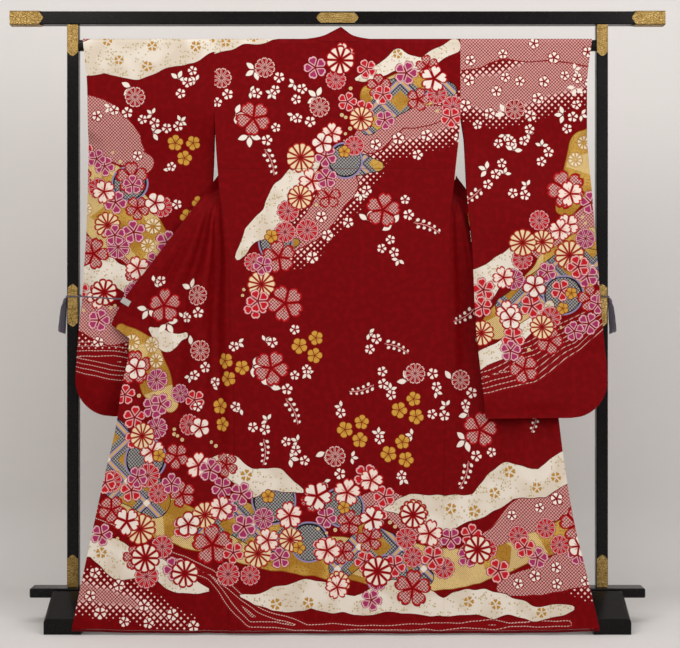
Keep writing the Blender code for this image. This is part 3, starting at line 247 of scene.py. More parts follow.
# The print is drawn on charts, one for the body and one for each sleeve: place across, the
# sleeves' a metre further out, and height. A field is a row of round-ended strokes, each of them
# joined up points of place across, height and half width, in millimetres.
SLEEVE_CHART = 1.0
FIELDS_MM = {
    "cream": (
        ((-50, 1235, 5), (-95, 1205, 28), (-150, 1165, 24), (-170, 1095, 32), (-225, 1045, 24),
         (-265, 980, 6)),
        ((50, 1460, 5), (105, 1478, 22), (165, 1515, 26), (225, 1500, 20), (310, 1545, 18)),
        ((-335, 1560, 34), (-260, 1575, 26), (-165, 1575, 12)),
        ((-715, 215, 34), (-640, 228, 28), (-560, 185, 42), (-480, 175, 26), (-410, 135, 32),
         (-320, 110, 8)),
        ((-250, 100, 6), (-165, 86, 30), (-70, 106, 36), (45, 78, 26), (150, 98, 38),
         (275, 68, 26), (385, 88, 34), (500, 56, 18), (610, 68, 5)),
        ((125, 318, 6), (200, 332, 26), (285, 305, 42), (370, 330, 34), (450, 392, 46),
         (540, 392, 36), (660, 450, 42)),
        ((-345, 440, 5), (-290, 440, 26), (-230, 395, 38), (-160, 395, 26), (-90, 365, 6)),
        ((-520, 790, 8), (-470, 755, 26), (-420, 770, 12)),
        ((-1710, 1505, 44), (-1625, 1530, 50), (-1545, 1495, 38), (-1470, 1540, 46),
         (-1395, 1530, 28), (-1310, 1568, 30)),
        ((-1600, 1590, 40), (-1340, 1595, 40)),
        ((-1690, 920, 40), (-1610, 950, 30), (-1530, 905, 34), (-1440, 920, 26), (-1390, 890, 8)),
        ((1375, 900, 44), (1450, 960, 34), (1500, 1010, 20), (1560, 1020, 6)),
        ((1360, 700, 20), (1430, 735, 26), (1500, 790, 20), (1560, 850, 10)),
    ),
    "gold": (
        ((-600, 790, 14), (-530, 730, 40), (-500, 650, 46), (-455, 590, 20)),
        ((-620, 430, 30), (-540, 370, 56), (-440, 290, 56), (-330, 250, 40), (-190, 230, 60),
         (-60, 200, 50), (80, 190, 60), (220, 170, 56), (360, 170, 40), (500, 215, 34),
         (640, 270, 30)),
        ((90, 1410, 30), (170, 1440, 36), (240, 1420, 30)),
        ((-1700, 1210, 60), (-1640, 1150, 90), (-1570, 1070, 90), (-1500, 1010, 60)),
        ((1710, 1330, 20), (1670, 1270, 50), (1650, 1190, 50), (1610, 1120, 30)),
        ((1680, 1000, 60), (1600, 930, 80), (1520, 860, 60), (1420, 800, 40)),
    ),
    "dapple": (
        ((-1710, 1600, 60), (-1600, 1605, 30)),
        ((-1700, 1370, 50), (-1620, 1350, 44), (-1550, 1300, 22), (-1520, 1270, 4)),
        ((-1700, 1300, 40), (-1600, 1280, 42), (-1520, 1235, 24)),
        ((-1700, 1010, 26), (-1620, 1015, 20), (-1540, 980, 30), (-1450, 960, 20)),
        ((-1690, 830, 44), (-1600, 800, 50), (-1520, 800, 30)),
        ((1310, 1530, 50), (1450, 1560, 46), (1720, 1560, 60)),
        ((1540, 1010, 30), (1620, 1050, 34), (1700, 1100, 40)),
        ((330, 200, 20), (420, 250, 34), (520, 320, 46), (640, 380, 50)),
        ((430, 120, 20), (520, 140, 40), (640, 180, 50), (720, 190, 40)),
        ((20, 330, 14), (120, 340, 34), (200, 290, 34), (260, 230, 14)),
        ((-640, 520, 20), (-560, 470, 20), (-500, 480, 10)),
        ((80, 1300, 40), (160, 1360, 36), (330, 1370, 10)),
        ((-120, 1020, 26), (-50, 1080, 36), (10, 1180, 40)),
    ),
    "spray": (
        ((1300, 1430, 80), (1420, 1420, 95), (1520, 1450, 100), (1700, 1500, 90)),
        ((20, 1200, 30), (120, 1300, 60), (240, 1330, 70), (330, 1370, 70)),
        ((-200, 960, 14), (-110, 1010, 60), (-20, 1120, 70), (60, 1240, 70)),
        ((-760, 100, 60), (-660, 110, 70), (-540, 85, 56), (-400, 30, 30)),
        ((560, 170, 40), (660, 140, 60), (740, 120, 20)),
        ((-1690, 760, 20), (-1560, 760, 26), (-1460, 800, 14)),
    ),
    "trellis": (
        ((-700, 560, 14), (-620, 500, 60), (-560, 400, 66), (-480, 340, 40)),
        ((-350, 260, 20), (-270, 300, 46), (-180, 260, 50), (-90, 230, 20)),
        ((10, 170, 30), (80, 240, 44), (160, 200, 44), (230, 150, 20)),
        ((80, 1330, 20), (150, 1410, 48), (220, 1440, 40), (300, 1430, 20)),
        ((-190, 1000, 10), (-150, 1010, 26), (-110, 1020, 10)),
        ((20, 1215, 10), (60, 1230, 30), (110, 1225, 10)),
        ((1700, 960, 40), (1620, 960, 46), (1540, 890, 50), (1450, 850, 30)),
    ),
    "water": (
        ((-740, 300, 14), (-660, 330, 22), (-560, 280, 20), (-500, 240, 16), (-440, 200, 20),
         (-330, 150, 20), (-220, 50, 34), (-80, 20, 14), (120, 20, 12), (350, 26, 16),
         (600, 30, 10)),
        ((-1700, 715, 44), (-1600, 705, 56), (-1480, 680, 50), (-1380, 660, 32)),
        ((1360, 655, 44), (1500, 700, 56), (1620, 770, 50), (1710, 830, 34)),
    ),
    # A ring is a stroke a millimetre long.
    "ring": tuple(((x, z, radius), (x + 1, z, radius)) for x, z, radius in (
        (15, 325, 50), (-165, 340, 54), (-75, 235, 48), (130, 150, 52), (-515, 450, 52),
        (20, 1240, 44), (-165, 1020, 42), (1600, 880, 50), (-1560, 1180, 44))),
    "rich": (
        ((-580, 700, 40), (-520, 620, 75), (-460, 540, 100), (-430, 440, 120), (-440, 330, 120),
         (-350, 270, 90), (-300, 350, 50), (-320, 440, 40)),
        ((-640, 360, 50), (-580, 270, 60), (-500, 200, 60), (-380, 180, 50)),
        ((-270, 210, 75), (-140, 250, 80), (-30, 290, 95), (60, 330, 90), (140, 290, 80),
         (220, 210, 65), (330, 200, 55)),
        ((20, 150, 50), (120, 130, 50), (300, 220, 50), (430, 190, 44), (560, 230, 48),
         (660, 250, 34)),
        ((-30, 1510, 40), (30, 1450, 60), (90, 1400, 64), (40, 1330, 50), (-20, 1290, 40)),
        ((210, 1490, 30), (260, 1410, 44), (300, 1370, 36)),
        ((-60, 1250, 40), (-50, 1180, 55), (-90, 1110, 46), (-130, 1050, 40), (-190, 960, 40),
         (-220, 880, 34), (-150, 840, 26)),
        ((-1710, 1290, 40), (-1640, 1210, 66), (-1590, 1120, 90), (-1520, 1100, 60),
         (-1600, 1030, 70), (-1500, 990, 60)),
        ((-1700, 860, 50), (-1600, 850, 50), (-1520, 840, 40)),
        ((1700, 1200, 50), (1630, 1100, 70), (1570, 1010, 80), (1500, 930, 80), (1440, 860, 64),
         (1380, 800, 40)),
        ((1700, 940, 64), (1620, 850, 80), (1540, 780, 60), (1470, 710, 36)),
    ),
    "sprig": (
        ((-300, 1500, 40), (-200, 1440, 60), (-110, 1400, 60), (-30, 1370, 40)),
        ((-260, 1330, 30), (-170, 1300, 50), (-90, 1290, 30)),
        ((-180, 880, 40), (-120, 800, 60), (-150, 700, 50)),
        ((80, 1160, 40), (110, 1060, 60), (130, 970, 30)),
        ((100, 730, 50), (200, 640, 80), (330, 590, 80), (420, 560, 60), (560, 600, 40)),
        ((-340, 700, 60), (-280, 580, 70), (-150, 500, 70), (0, 470, 60), (140, 470, 60)),
        ((-450, 860, 40), (-380, 820, 60), (-360, 740, 40)),
        ((-1500, 1400, 50), (-1430, 1330, 60), (-1440, 1220, 60), (-1400, 1120, 50)),
        ((-1400, 1480, 40), (-1360, 1440, 30)),
        ((1500, 1330, 60), (1570, 1270, 60), (1450, 1200, 50), (1520, 1150, 60)),
        ((1650, 1440, 50), (1600, 1360, 60)),
        ((640, 1000, 40), (520, 900, 60), (440, 780, 60)),
        ((-600, 1430, 60), (-430, 1400, 60)),
        ((430, 1400, 60), (600, 1430, 60)),
    ),
}
FIELDS = {name: metres(strokes) for name, strokes in FIELDS_MM.items()}
PRINTED_FIELDS = ("cream", "gold", "dapple", "spray", "trellis", "water", "ring")
# Blossoms and leaves. Each: petals, petal colour, outline colour, dotted petals, notch at the
# petals' tips, radius in metres. The part of a petal after the point widens the gaps between
# petals: 0.1 of it is 4% of the radius. Half a petal makes a fan of pointed leaves, and with two
# petals a hanging spray of berries. A notch above 1.05 leaves out the ring of plain ground.
BLOOMS = {
    "cherry": (5.27, "#ded3c9", "#a5141a", 0.0, 1.0, 0.0350),
    "cherry_rose": (5.24, "#e0cfc3", "#b8302f", 0.0, 1.0, 0.0320),
    "daisy": (10.24, "#ded3c3", "#a01016", 0.0, 0.0, 0.0360),
    "daisy_wide": (12.18, "#dac79f", "#ad3226", 0.0, 0.0, 0.0345),
    "plum_white": (5.24, "#ded3c9", "#a01016", 0.0, 0.0, 0.0290),
    "magenta": (5.38, "#972d59", "#d3a1a8", 0.0, 0.4, 0.0285),
    "magenta_daisy": (8.26, "#922b57", "#d0a0a8", 0.0, 0.5, 0.0280),
    "scarlet": (5.38, "#b01a22", "#d9a0a0", 0.0, 0.4, 0.0285),
    "scarlet_daisy": (10.21, "#a8161e", "#d69a9c", 0.0, 0.5, 0.0280),
    "dappled": (5.24, "#ddb0aa", "#a5141a", 1.0, 0.7, 0.0460),
    "dappled_small": (5.24, "#ddb0aa", "#a5141a", 1.0, 0.5, 0.0340),
    "spray_white": (5.34, "#e2dad1", "#8a0a11", 0.0, 0.5, 0.0155),
    "ume": (5.14, "#c0903a", "#7a3010", 0.0, 0.0, 0.0220),
    "leaves": (5.5, "#e0d7cc", "#8a0a11", 0.0, 0.0, 0.0270),
    "leaf_tips": (5.5, "#e0d7cc", "#8a0a11", 0.0, 0.0, 0.0185),
    "catkin": (2.5, "#e0d7cc", "#c98a86", 0.0, 0.0, 0.0420),
    "gilt": (5.30, "#a97c2e", "#cfc3b1", 0.0, 1.1, 0.0165),
    "ring_daisy": (10.21, "#8a0a11", "#dcb4ae", 0.0, 0.5, 0.0270),
    "gold_daisy": (9.24, "#dbcdb2", "#99691e", 0.0, 1.1, 0.0215),
    "ring_dot": (1, "#c9b184", "#8a0a11", 0.0, 0.0, 0.0052),
}
CROWDED = ("cherry_rose", "daisy_wide", "magenta", "scarlet", "magenta_daisy", "scarlet_daisy",
           "dappled_small", "dappled_small", "scarlet", "magenta", "scarlet_daisy", "dappled")
ON_TOP = ("cherry", "cherry_rose", "daisy", "plum_white", "magenta", "scarlet", "daisy_wide")
# Groups for the plain ground: kind, place across and height from the group's middle, scale.
GROUPS = (
    (("spray_white", 0.000, 0.000, 1.0), ("spray_white", 0.033, 0.012, 0.95),
     ("leaf_tips", -0.020, 0.012, 1.0), ("leaves", 0.014, -0.022, 0.9),
     ("catkin", 0.092, 0.018, 1.0), ("spray_white", -0.030, -0.016, 0.9)),
    (("ume", 0.000, 0.000, 1.0), ("ume", 0.046, 0.012, 0.95), ("ume", 0.014, 0.046, 0.9),
     ("spray_white", -0.040, 0.020, 0.95), ("leaf_tips", -0.050, 0.030, 1.0),
     ("spray_white", 0.058, -0.028, 0.9), ("leaf_tips", 0.066, -0.034, 1.0)),
    (("dappled", 0.000, 0.000, 1.0), ("leaves", 0.040, -0.026, 1.2),
     ("leaves", -0.026, -0.042, 1.1), ("spray_white", 0.068, 0.014, 1.05),
     ("spray_white", -0.060, 0.032, 1.0), ("leaf_tips", -0.070, 0.016, 1.0),
     ("spray_white", 0.044, 0.048, 0.9), ("catkin", 0.128, 0.006, 1.05)),
    (("ring_daisy", 0.000, 0.000, 1.0), ("leaves", -0.008, -0.026, 1.1),
     ("spray_white", 0.042, 0.020, 1.05), ("spray_white", 0.066, -0.006, 0.95),
     ("leaf_tips", 0.070, -0.018, 1.0), ("catkin", 0.122, 0.000, 1.0)),
    (("spray_white", 0.000, 0.000, 0.95), ("spray_white", -0.032, -0.014, 0.9),
     ("leaf_tips", 0.018, 0.014, 1.0), ("spray_white", -0.006, -0.034, 0.9),
     ("leaf_tips", -0.046, -0.022, 1.0)),
    (("spray_white", 0.000, 0.000, 1.0), ("leaf_tips", -0.024, 0.006, 1.0),
     ("catkin", 0.060, 0.002, 0.95), ("spray_white", -0.006, -0.032, 0.95)),
)


# The photo's viewpoint, from the scale of the posts and where level lines meet.
CAMERA_DISTANCE, CAMERA_HEIGHT, CAMERA_X = 4.3, 0.8405, 0.0067
CAMERA_LENS, CAMERA_SHIFT = 84.6, -0.0206
# Lamps: name, place, aim, size, watts, tint.
LAMPS = (
    ("key", (-1.8, -3.4, 3.2), (0.0, 0.0, 0.9), (1.8, 1.8), 56.0, "#fff8f2"),
    ("fill", (2.4, -3.2, 2.2), (0.1, 0.0, 0.9), (2.0, 2.0), 52.0, "#fffaf8"),
    ("top", (0.0, -1.2, 3.3), (0.0, 0.5, 1.2), (2.6, 1.2), 30.0, "#ffffff"),
)


def srgb(colour):
    """A "#rrggbb" colour as linear red, green and blue."""
    channels = (int(colour[i:i + 2], 16) / 255.0 for i in (1, 3, 5))
    return tuple(c / 12.92 if c <= 0.04045 else ((c + 0.055) / 1.055) ** 2.4 for c in channels)


def stroke_depth(points, field):
    """Depth of chart points inside a field: half width less distance, the largest of its strokes."""
    best = np.full(points.shape[:-1], -1.0)
    for stroke in field:
        for start, end in zip(stroke, stroke[1:]):
            start, end = np.array(start), np.array(end)
            step = end[:2] - start[:2]
            part = np.clip(((points - start[:2]) @ step) / (step @ step), 0.0, 1.0)
            nearest = start[:2] + part[..., None] * step
            reach = start[2] + (end[2] - start[2]) * part
            best = np.maximum(best, reach - np.linalg.norm(points - nearest, axis=-1))
    return best


def field_box(field):
    """Lowest and highest corner of a field's strokes, widened by its widest one."""
    marks = np.array([point for stroke in field for point in stroke])
    reach = marks[:, 2].max()
    return marks[:, :2].min(axis=0) - reach, marks[:, :2].max(axis=0) + reach


def plant():
    """The blossoms' places on the charts, as an upper and a lower layer.

    Rows of place across, height, radius, turn and kind. Darts are thrown into each bed and kept
    where they clear those already there: large blossoms on top of smaller crowded ones, groups of
    blossoms over leaves on the plain ground, gilt ones on cream and small white ones on dots.
    """
    rng = np.random.default_rng(19)
    kinds = list(BLOOMS)
    # One blossom off the charts keeps a layer from being empty.
    upper, lower = [(9.0, 9.0, 0.01, 0.0, 0)], [(9.0, 9.0, 0.01, 0.0, 0)]
    decor = FIELDS["cream"] + FIELDS["gold"] + FIELDS["trellis"]

    def clear(layer, x, z, radius, close):
        """Whether a blossom clears its layer, by this share of both radii."""
        marks = np.array(layer)
        apart = np.hypot(marks[:, 0] - x, marks[:, 1] - z)
        return (apart > close * (marks[:, 2] + radius)).all()

    def outside(field, x, z, margin):
        """Whether a spot is off a field by this margin."""
        return stroke_depth(np.array([x, z]), field) < -margin

    def darts(field, count, depth=0.0):
        """Random spots that are deeper inside a field than this."""
        low, high = field_box(field)
        spots = rng.uniform(low, high, (count, 2))
        return spots[stroke_depth(spots, field) > depth]

    def put(layer, kind, x, z, scale, close, turn=None):
        """Adds a blossom to a layer where it is clear."""
        radius = BLOOMS[kind][5] * scale
        if clear(layer, x, z, radius, close):
            turn = rng.uniform(0.0, 2 * math.pi) if turn is None else turn
            layer.append((x, z, radius, turn, kinds.index(kind)))

    for x, z in darts(FIELDS["ring"], 900, 0.014):
        put(upper, "ume", x, z, rng.uniform(0.70, 0.85), 1.02)
    for x, z in darts(FIELDS["rich"], 12000, 0.012):
        put(upper, ON_TOP[rng.integers(len(ON_TOP))], x, z, rng.uniform(0.92, 1.12), 1.36)
    for x, z in darts(FIELDS["rich"], 16000):
        put(lower, CROWDED[rng.integers(len(CROWDED))], x, z, rng.uniform(0.88, 1.14), 0.90)
    for x, z in darts(FIELDS["rich"], 9000):
        if clear(upper, x, z, 0.006, 1.05) and outside(decor, x, z, 0.008):
            put(lower, "ring_dot", x, z, rng.uniform(0.85, 1.1), 1.06)
    for x, z in darts(FIELDS["gold"], 6000, 0.016):
        if clear(lower, x, z, 0.021, 0.95) and outside(FIELDS["trellis"], x, z, 0.022):
            put(upper, "gold_daisy", x, z, rng.uniform(0.85, 1.1), 1.02)
    for x, z in darts(FIELDS["cream"], 6000, 0.013):
        if clear(lower, x, z, 0.016, 1.0):
            put(upper, "gilt", x, z, rng.uniform(0.85, 1.1), 1.75)
    for x, z in darts(FIELDS["sprig"], 6000):
        if clear(upper, x, z, 0.044, 1.0) and clear(lower, x, z, 0.036, 1.0):
            # Sprigs hang down, to one side or the other.
            turn = rng.uniform(-2.9, -0.3)
            for kind, dx, dz, scale in GROUPS[rng.integers(len(GROUPS))]:
                spot = (x + dx * math.cos(turn) - dz * math.sin(turn),
                        z + dx * math.sin(turn) + dz * math.cos(turn))
                if outside(decor, *spot, 0.006):
                    leafy = kind in ("leaves", "leaf_tips", "catkin")
                    put(lower if leafy else upper, kind, *spot, scale, 0.93 if leafy else 1.04,
                        turn if kind == "catkin" else None)
    for x, z in darts(FIELDS["dapple"] + FIELDS["spray"], 6000):
        if outside(decor, x, z, 0.014) and clear(lower, x, z, 0.016, 0.9):
            put(upper, "spray_white", x, z, rng.uniform(0.9, 1.15), 1.35)
    return {"upper": np.array(upper), "lower": np.array(lower)}


def smooth(value):
    """Smooth step from 0 to 1."""
    value = np.clip(value, 0.0, 1.0)
    return value * value * (3.0 - 2.0 * value)


def through(rows, column, at):
    """A smooth curve (cubic Hermite, no overshoot) through one column of a table, by its first."""
    table = np.array(sorted(rows), float)
    keys, values = table[:, 0], table[:, column]
    rise = np.diff(values) / np.diff(keys)
    level = rise[1:] * rise[:-1] <= 0
    total = np.where(level, 1.0, rise[1:] + rise[:-1])
    slopes = np.zeros_like(values)
    slopes[1:-1] = np.where(level, 0.0, 2 * rise[1:] * rise[:-1] / total)
    slopes[0], slopes[-1] = rise[0], rise[-1]
    at = np.clip(np.asarray(at, float), keys[0], keys[-1])
    cell = np.clip(np.searchsorted(keys, at) - 1, 0, len(keys) - 2)
    span = keys[cell + 1] - keys[cell]
    part = (at - keys[cell]) / span
    step = values[cell + 1] - values[cell]
    ease = part * part * (3 - 2 * part)
    into = slopes[cell] * span * part * (1 - part) ** 2
    out = slopes[cell + 1] * span * part * part * (part - 1)
    return values[cell] + step * ease + into + out


def straight(rows, column, at):
    """Straight runs through one column of a table, by its first column."""
    table = np.array(sorted(rows), float)
    return np.interp(at, table[:, 0], table[:, column])


def bumps(folds, place):
    """Sum of soft ridges and troughs across a panel."""
    return sum(depth * np.exp(-(((place - at) / width) ** 2)) for at, width, depth in folds)


# How the cloth hangs over the rod: distance from the rod's middle plane, and height, after a
# length of cloth from the shoulder fold.
HANG_FLAT = ROD_DEPTH / 2 - ROD_ROUND
HANG_RADIUS = ROD_ROUND + REST_GAP + CLOTH / 2
HANG_ARC = HANG_RADIUS * math.pi / 2
STRAIGHT_FROM = HANG_FLAT + HANG_ARC
STRAIGHT_Z = ROD_TOP - ROD_ROUND


def hang(length):
    """Depth and height of the cloth: level over the rod, a quarter round, then straight down."""
    angle = np.clip((length - HANG_FLAT) / HANG_RADIUS, 0.0, math.pi / 2)
    depth = np.minimum(length, HANG_FLAT) + HANG_RADIUS * np.sin(angle)
    below = np.maximum(length - STRAIGHT_FROM, 0.0)
    return depth, STRAIGHT_Z + HANG_RADIUS * np.cos(angle) - below


def length_at(height):
    """Length of cloth from the shoulder fold down to a height below the rod's top."""
    return STRAIGHT_FROM + STRAIGHT_Z - height


def shoulder_lengths():
    """Cloth lengths of the rows that bend over the rod."""
    return np.concatenate([[0.0], HANG_FLAT + np.linspace(0, HANG_ARC, ARC_STEPS + 1)])


def rows_between(*stops):
    """Cloth lengths from the shoulder fold down: the bend, then (end, count) runs."""
    lengths = [shoulder_lengths()]
    start = STRAIGHT_FROM
    for end, count in stops:
        lengths.append(np.linspace(start, end, count + 1)[1:])
        start = end
    return np.concatenate(lengths)


def lean(length):
    """How far the back leans towards the viewer as it comes down."""
    return LEAN * (np.maximum(length, 0.0) / SHOULDER_TO_HEM) ** LEAN_POWER


def hem_lift(across):
    """The hem's rise towards the outer corners, across 0 to 1."""
    return CORNER_LIFT * across**3


def back_depth(length):
    """Depth of the back's middle surface, the viewer's side being negative."""
    return -hang(length)[0] - lean(length)


def back_stations():
    """Places across half the back at the shoulder: armhole, neck seam's end, centre back."""
    return np.concatenate([np.linspace(ARM_X, NECK_SEAM_X, 6)[:-1],
                           np.linspace(NECK_SEAM_X, 0.0, NECK_STATIONS)])


def back_panel(side, lengths):
    """Points of one half of the back. Rows run down, columns from the side seam to the middle.

    The top edge follows the neck seam, which dips below the shoulder between the collar's sides.
    """
    place = back_stations()[None, :]
    share = place / ARM_X
    dip = NECK_DROP * smooth((NECK_SEAM_X - place) / (NECK_SEAM_X - NECK_FLAT_X))
    length = dip + (SHOULDER_TO_HEM - dip) * (lengths[:, None] / SHOULDER_TO_HEM)
    height = hang(length)[1]
    drift = straight(CENTRE_SEAM, 1, height) * np.maximum(0.0, 1.0 - place / NECK_SEAM_X)
    x = side * through(SIDE_SEAM[side], 1, height) * share + drift
    wave = bumps(BACK_FOLDS, side * share) * smooth((length - 0.3) / 0.6)
    y = back_depth(length) + wave * smooth((1.0 - share) / 0.15)
    return np.stack([x, POST_Y + y, height], axis=-1)


def outer_edge(side, height):
    """Front body's outer edge: the armhole, then the side seam just behind the back's edge."""
    sewn = height < SIDE_SEAM_TOP
    x = np.where(sewn, through(SIDE_SEAM[side], 1, height), straight(ARMHOLE_EDGE, 1, height))
    seam_depth = back_depth(length_at(height)) + (CLOTH + SIDE_SEAM_GAP)
    depth = np.where(sewn, seam_depth, straight(ARMHOLE_EDGE, 2, height))
    return side * x, depth


def front_rows(side, heights, length):
    """Dense rows of an opened front, from its outer edge to the free edge, and the fold offset.

    A row is the straight line between both edges, with a soft loop inwards where the cloth is
    taken in at the armpit, and the folds across it.
    """
    u = np.linspace(0.0, 1.0, DENSE)[None, :]
    height = heights[:, None]
    outer_x, outer_y = outer_edge(side, height)
    free_x = side * through(FRONT_EDGE[side], 1, height)
    free_y = through(FRONT_EDGE[side], 2, height)
    bend = length[:, None] < STRAIGHT_FROM
    outer_y = np.where(bend, hang(length[:, None])[0], outer_y)
    free_y = np.where(bend, hang(length[:, None])[0], free_y)
    taken = np.exp(-(((height - TAKE_IN_Z) / TAKE_IN_SPREAD) ** 2))
    loop = TAKE_IN * taken * np.sin(np.pi * u)
    chord = np.arctan2(free_y - outer_y, side * (free_x - outer_x))
    turned = chord - np.pi / 2
    facing = np.pi + turned * np.where(turned > 0, TAKE_IN_TURN_ABOVE, TAKE_IN_TURN_BELOW)
    part = u - TAKE_IN_ROUND * taken * np.sin(2 * np.pi * u)
    strength = through(FOLD_STRENGTH, 1, height)
    fold = bumps(FRONT_FOLDS[side], u) * strength * smooth(u / 0.06) * smooth((0.95 - u) / 0.09)
    x = outer_x + (free_x - outer_x) * part + side * loop * np.cos(facing)
    y = outer_y + (free_y - outer_y) * part + loop * np.sin(facing) + fold
    z = height + hem_lift(u) * smooth((0.25 - height) / 0.25)
    return np.stack([x, POST_Y + y, z + 0 * x], axis=-1)


def pick(rows, wanted):
    """Points at the wanted distances along each dense row."""
    steps = np.linalg.norm(np.diff(rows, axis=1), axis=2)
    run = np.concatenate([np.zeros((len(rows), 1)), np.cumsum(steps, axis=1)], axis=1)
    cell = (run[:, None, :] < wanted[:, :, None]).sum(axis=2) - 1
    cell = np.clip(cell, 0, rows.shape[1] - 2)
    low = np.take_along_axis(run, cell, axis=1)
    high = np.take_along_axis(run, cell + 1, axis=1)
    part = ((wanted - low) / (high - low))[..., None]
    start = np.take_along_axis(rows, cell[..., None].repeat(3, 2), axis=1)
    end = np.take_along_axis(rows, (cell + 1)[..., None].repeat(3, 2), axis=1)
    return start + (end - start) * part


def row_length(rows):
    """Length of each row of points."""
    return np.linalg.norm(np.diff(rows, axis=1), axis=2).sum(axis=1)


def spread(start, end, count):
    """Evenly spaced distances from start to end, a row for each."""
    return start[:, None] + (end - start)[:, None] * np.linspace(0, 1, count)[None, :]


def front_pieces(side, lengths):
    """Heights of the rows, then grids, normals and runs of one side's body, overlap and collar.

    All three are cut from the same rows. Where a row is shorter than the cloth it stands for, the
    body and the overlap share it in proportion.
    """
    heights = hang(lengths)[1]
    rows = front_rows(side, heights, lengths)
    whole = row_length(rows)
    collar = np.minimum(COLLAR_WIDTH, whole * COLLAR_SHARE)
    overlap = np.where(heights <= OVERLAP_TIP, through(OVERLAP_WIDTH, 1, heights), 0.0)
    collar_seam = whole - collar
    body_end = collar_seam * BODY_WIDTH / (BODY_WIDTH + overlap)
    wanted = np.concatenate([
        spread(0.0 * whole, body_end, BODY_COLUMNS),
        spread(body_end, collar_seam, OVERLAP_COLUMNS),
        spread(collar_seam, whole, COLLAR_COLUMNS)], axis=1)
    grid = pick(rows, wanted)
    step = 0.002
    along = pick(rows, wanted + step) - pick(rows, wanted - step)
    normal = np.cross(along, np.gradient(grid, axis=0)) if len(rows) > 1 else along
    normal /= np.linalg.norm(normal, axis=2, keepdims=True)
    cuts = (BODY_COLUMNS, BODY_COLUMNS + OVERLAP_COLUMNS)
    return heights, *(np.split(values, cuts, axis=1) for values in (grid, normal, wanted))


def grid_normals(grid):
    """Unit normals of a grid: the way along its rows crossed with the way down its columns."""
    down = np.gradient(grid, axis=0)
    along = np.gradient(grid, axis=1)
    normal = np.cross(along, down)
    return normal / np.linalg.norm(normal, axis=2, keepdims=True)


def chord_depth(side, x, height):
    """Depth of the opened front's straight row at a place, held past its free edge."""
    outer_x, outer_y = outer_edge(side, height)
    free_x = side * through(FRONT_EDGE[side], 1, height)
    free_y = through(FRONT_EDGE[side], 2, height)
    part = np.clip((x - outer_x) / (free_x - outer_x), 0.0, 1.0)
    return outer_y + (free_y - outer_y) * part


def sleeve_middle(side, x, height):
    """Depth of a sleeve's middle, which swings forward of the post at its outer edge.

    The left sleeve hangs behind its front, the right one lies on its own.
    """
    if side == LEFT:
        back = LEFT_SLEEVE_BACK * smooth((1.39 - height) / 0.15) * smooth((height - 0.80) / 0.25)
        outer_part = smooth((np.abs(x) - 0.50) / 0.18)
        return back - LEFT_SLEEVE_FORWARD * smooth((0.885 - height) / 0.13) * outer_part
    low = np.minimum(height, SIDE_SEAM_TOP - 0.01)
    resting = np.minimum(chord_depth(side, x, low) - RIGHT_SLEEVE_OFF_FRONT, -RIGHT_SLEEVE_OFF_POST)
    return resting * smooth((1.34 - height) / 0.30)


def sleeve_outline(side, height):
    """Inner and outer edge of a sleeve, with its outer bottom corner rounded as a quarter circle."""
    inner = through(SLEEVE_INNER[side], 1, height)
    outer = through(SLEEVE_OUTER[side], 1, height)
    over = np.clip(SLEEVE_ROUND - (height - SLEEVE_BOTTOM), 0.0, SLEEVE_ROUND)
    rounding = SLEEVE_ROUND - np.sqrt(SLEEVE_ROUND**2 - over**2)
    return inner, outer - rounding


def sleeve_wall(side, face, lengths):
    """Points of one wall of a sleeve: face -1 is the back's side, 1 the front's side."""
    length = lengths[:, None]
    depth, height = hang(length)
    inner, outer = sleeve_outline(side, height)
    across = np.linspace(0.0, 1.0, SLEEVE_COLUMNS)[None, :]
    x = side * (inner + (outer - inner) * across)
    from_outer = (outer - inner) * (1 - across)
    open_cuff = SLEEVE_TAPER * (1 - smooth((length - CUFF_DROP) / 0.06))
    from_sewn = np.minimum(from_outer + open_cuff, np.abs(height - SLEEVE_BOTTOM))
    taper = smooth(from_sewn / SLEEVE_TAPER)
    gap = SLEEVE_GAP + (depth - SLEEVE_GAP) * (1 - smooth((length - ARM_DROP) / 0.25))
    gap = np.where(length < ARM_DROP, depth, gap)
    gap = SEWN_GAP + (gap - SEWN_GAP) * taper
    near_arm = 1 - smooth((np.abs(x) - ARM_X) / 0.09)
    shared = lean(length) * near_arm * (1 - smooth((length - ARM_DROP) / 0.12))
    wave = bumps(SLEEVE_FOLDS, across) * smooth((length - 0.25) / 0.4) * taper
    y = sleeve_middle(side, x, height) + face * gap + wave
    if face < 0:
        y = y - shared
    return np.stack([x, POST_Y + y, height + 0 * x], axis=-1)


def neck_band(side):
    """Collar from the centre back to the shoulder, its seam on the neck, its edge standing up."""
    seam = back_panel(side, np.zeros(1))[0, -NECK_STATIONS:][::-1]
    part = np.linspace(0.0, 1.0, NECK_STATIONS)
    edge_x = side * NECK_EDGE_X * part + straight(CENTRE_SEAM, 1, ROD_TOP) * (1.0 - part)
    edge_y = POST_Y - COLLAR_LEAN * (1.0 - part)
    edge_z = COLLAR_PEAK + (NECK_EDGE_Z - COLLAR_PEAK) * part
    edge = np.stack([edge_x, edge_y, edge_z], axis=-1)
    away = edge - seam
    away /= np.linalg.norm(away, axis=1, keepdims=True)
    seam = seam + away * NECK_GAP
    seam[:, 1] += NECK_GAP * smooth(part / 0.5)
    across = np.linspace(0.0, 1.0, COLLAR_COLUMNS)[None, :, None]
    return seam[:, None, :] + (edge - seam)[:, None, :] * across


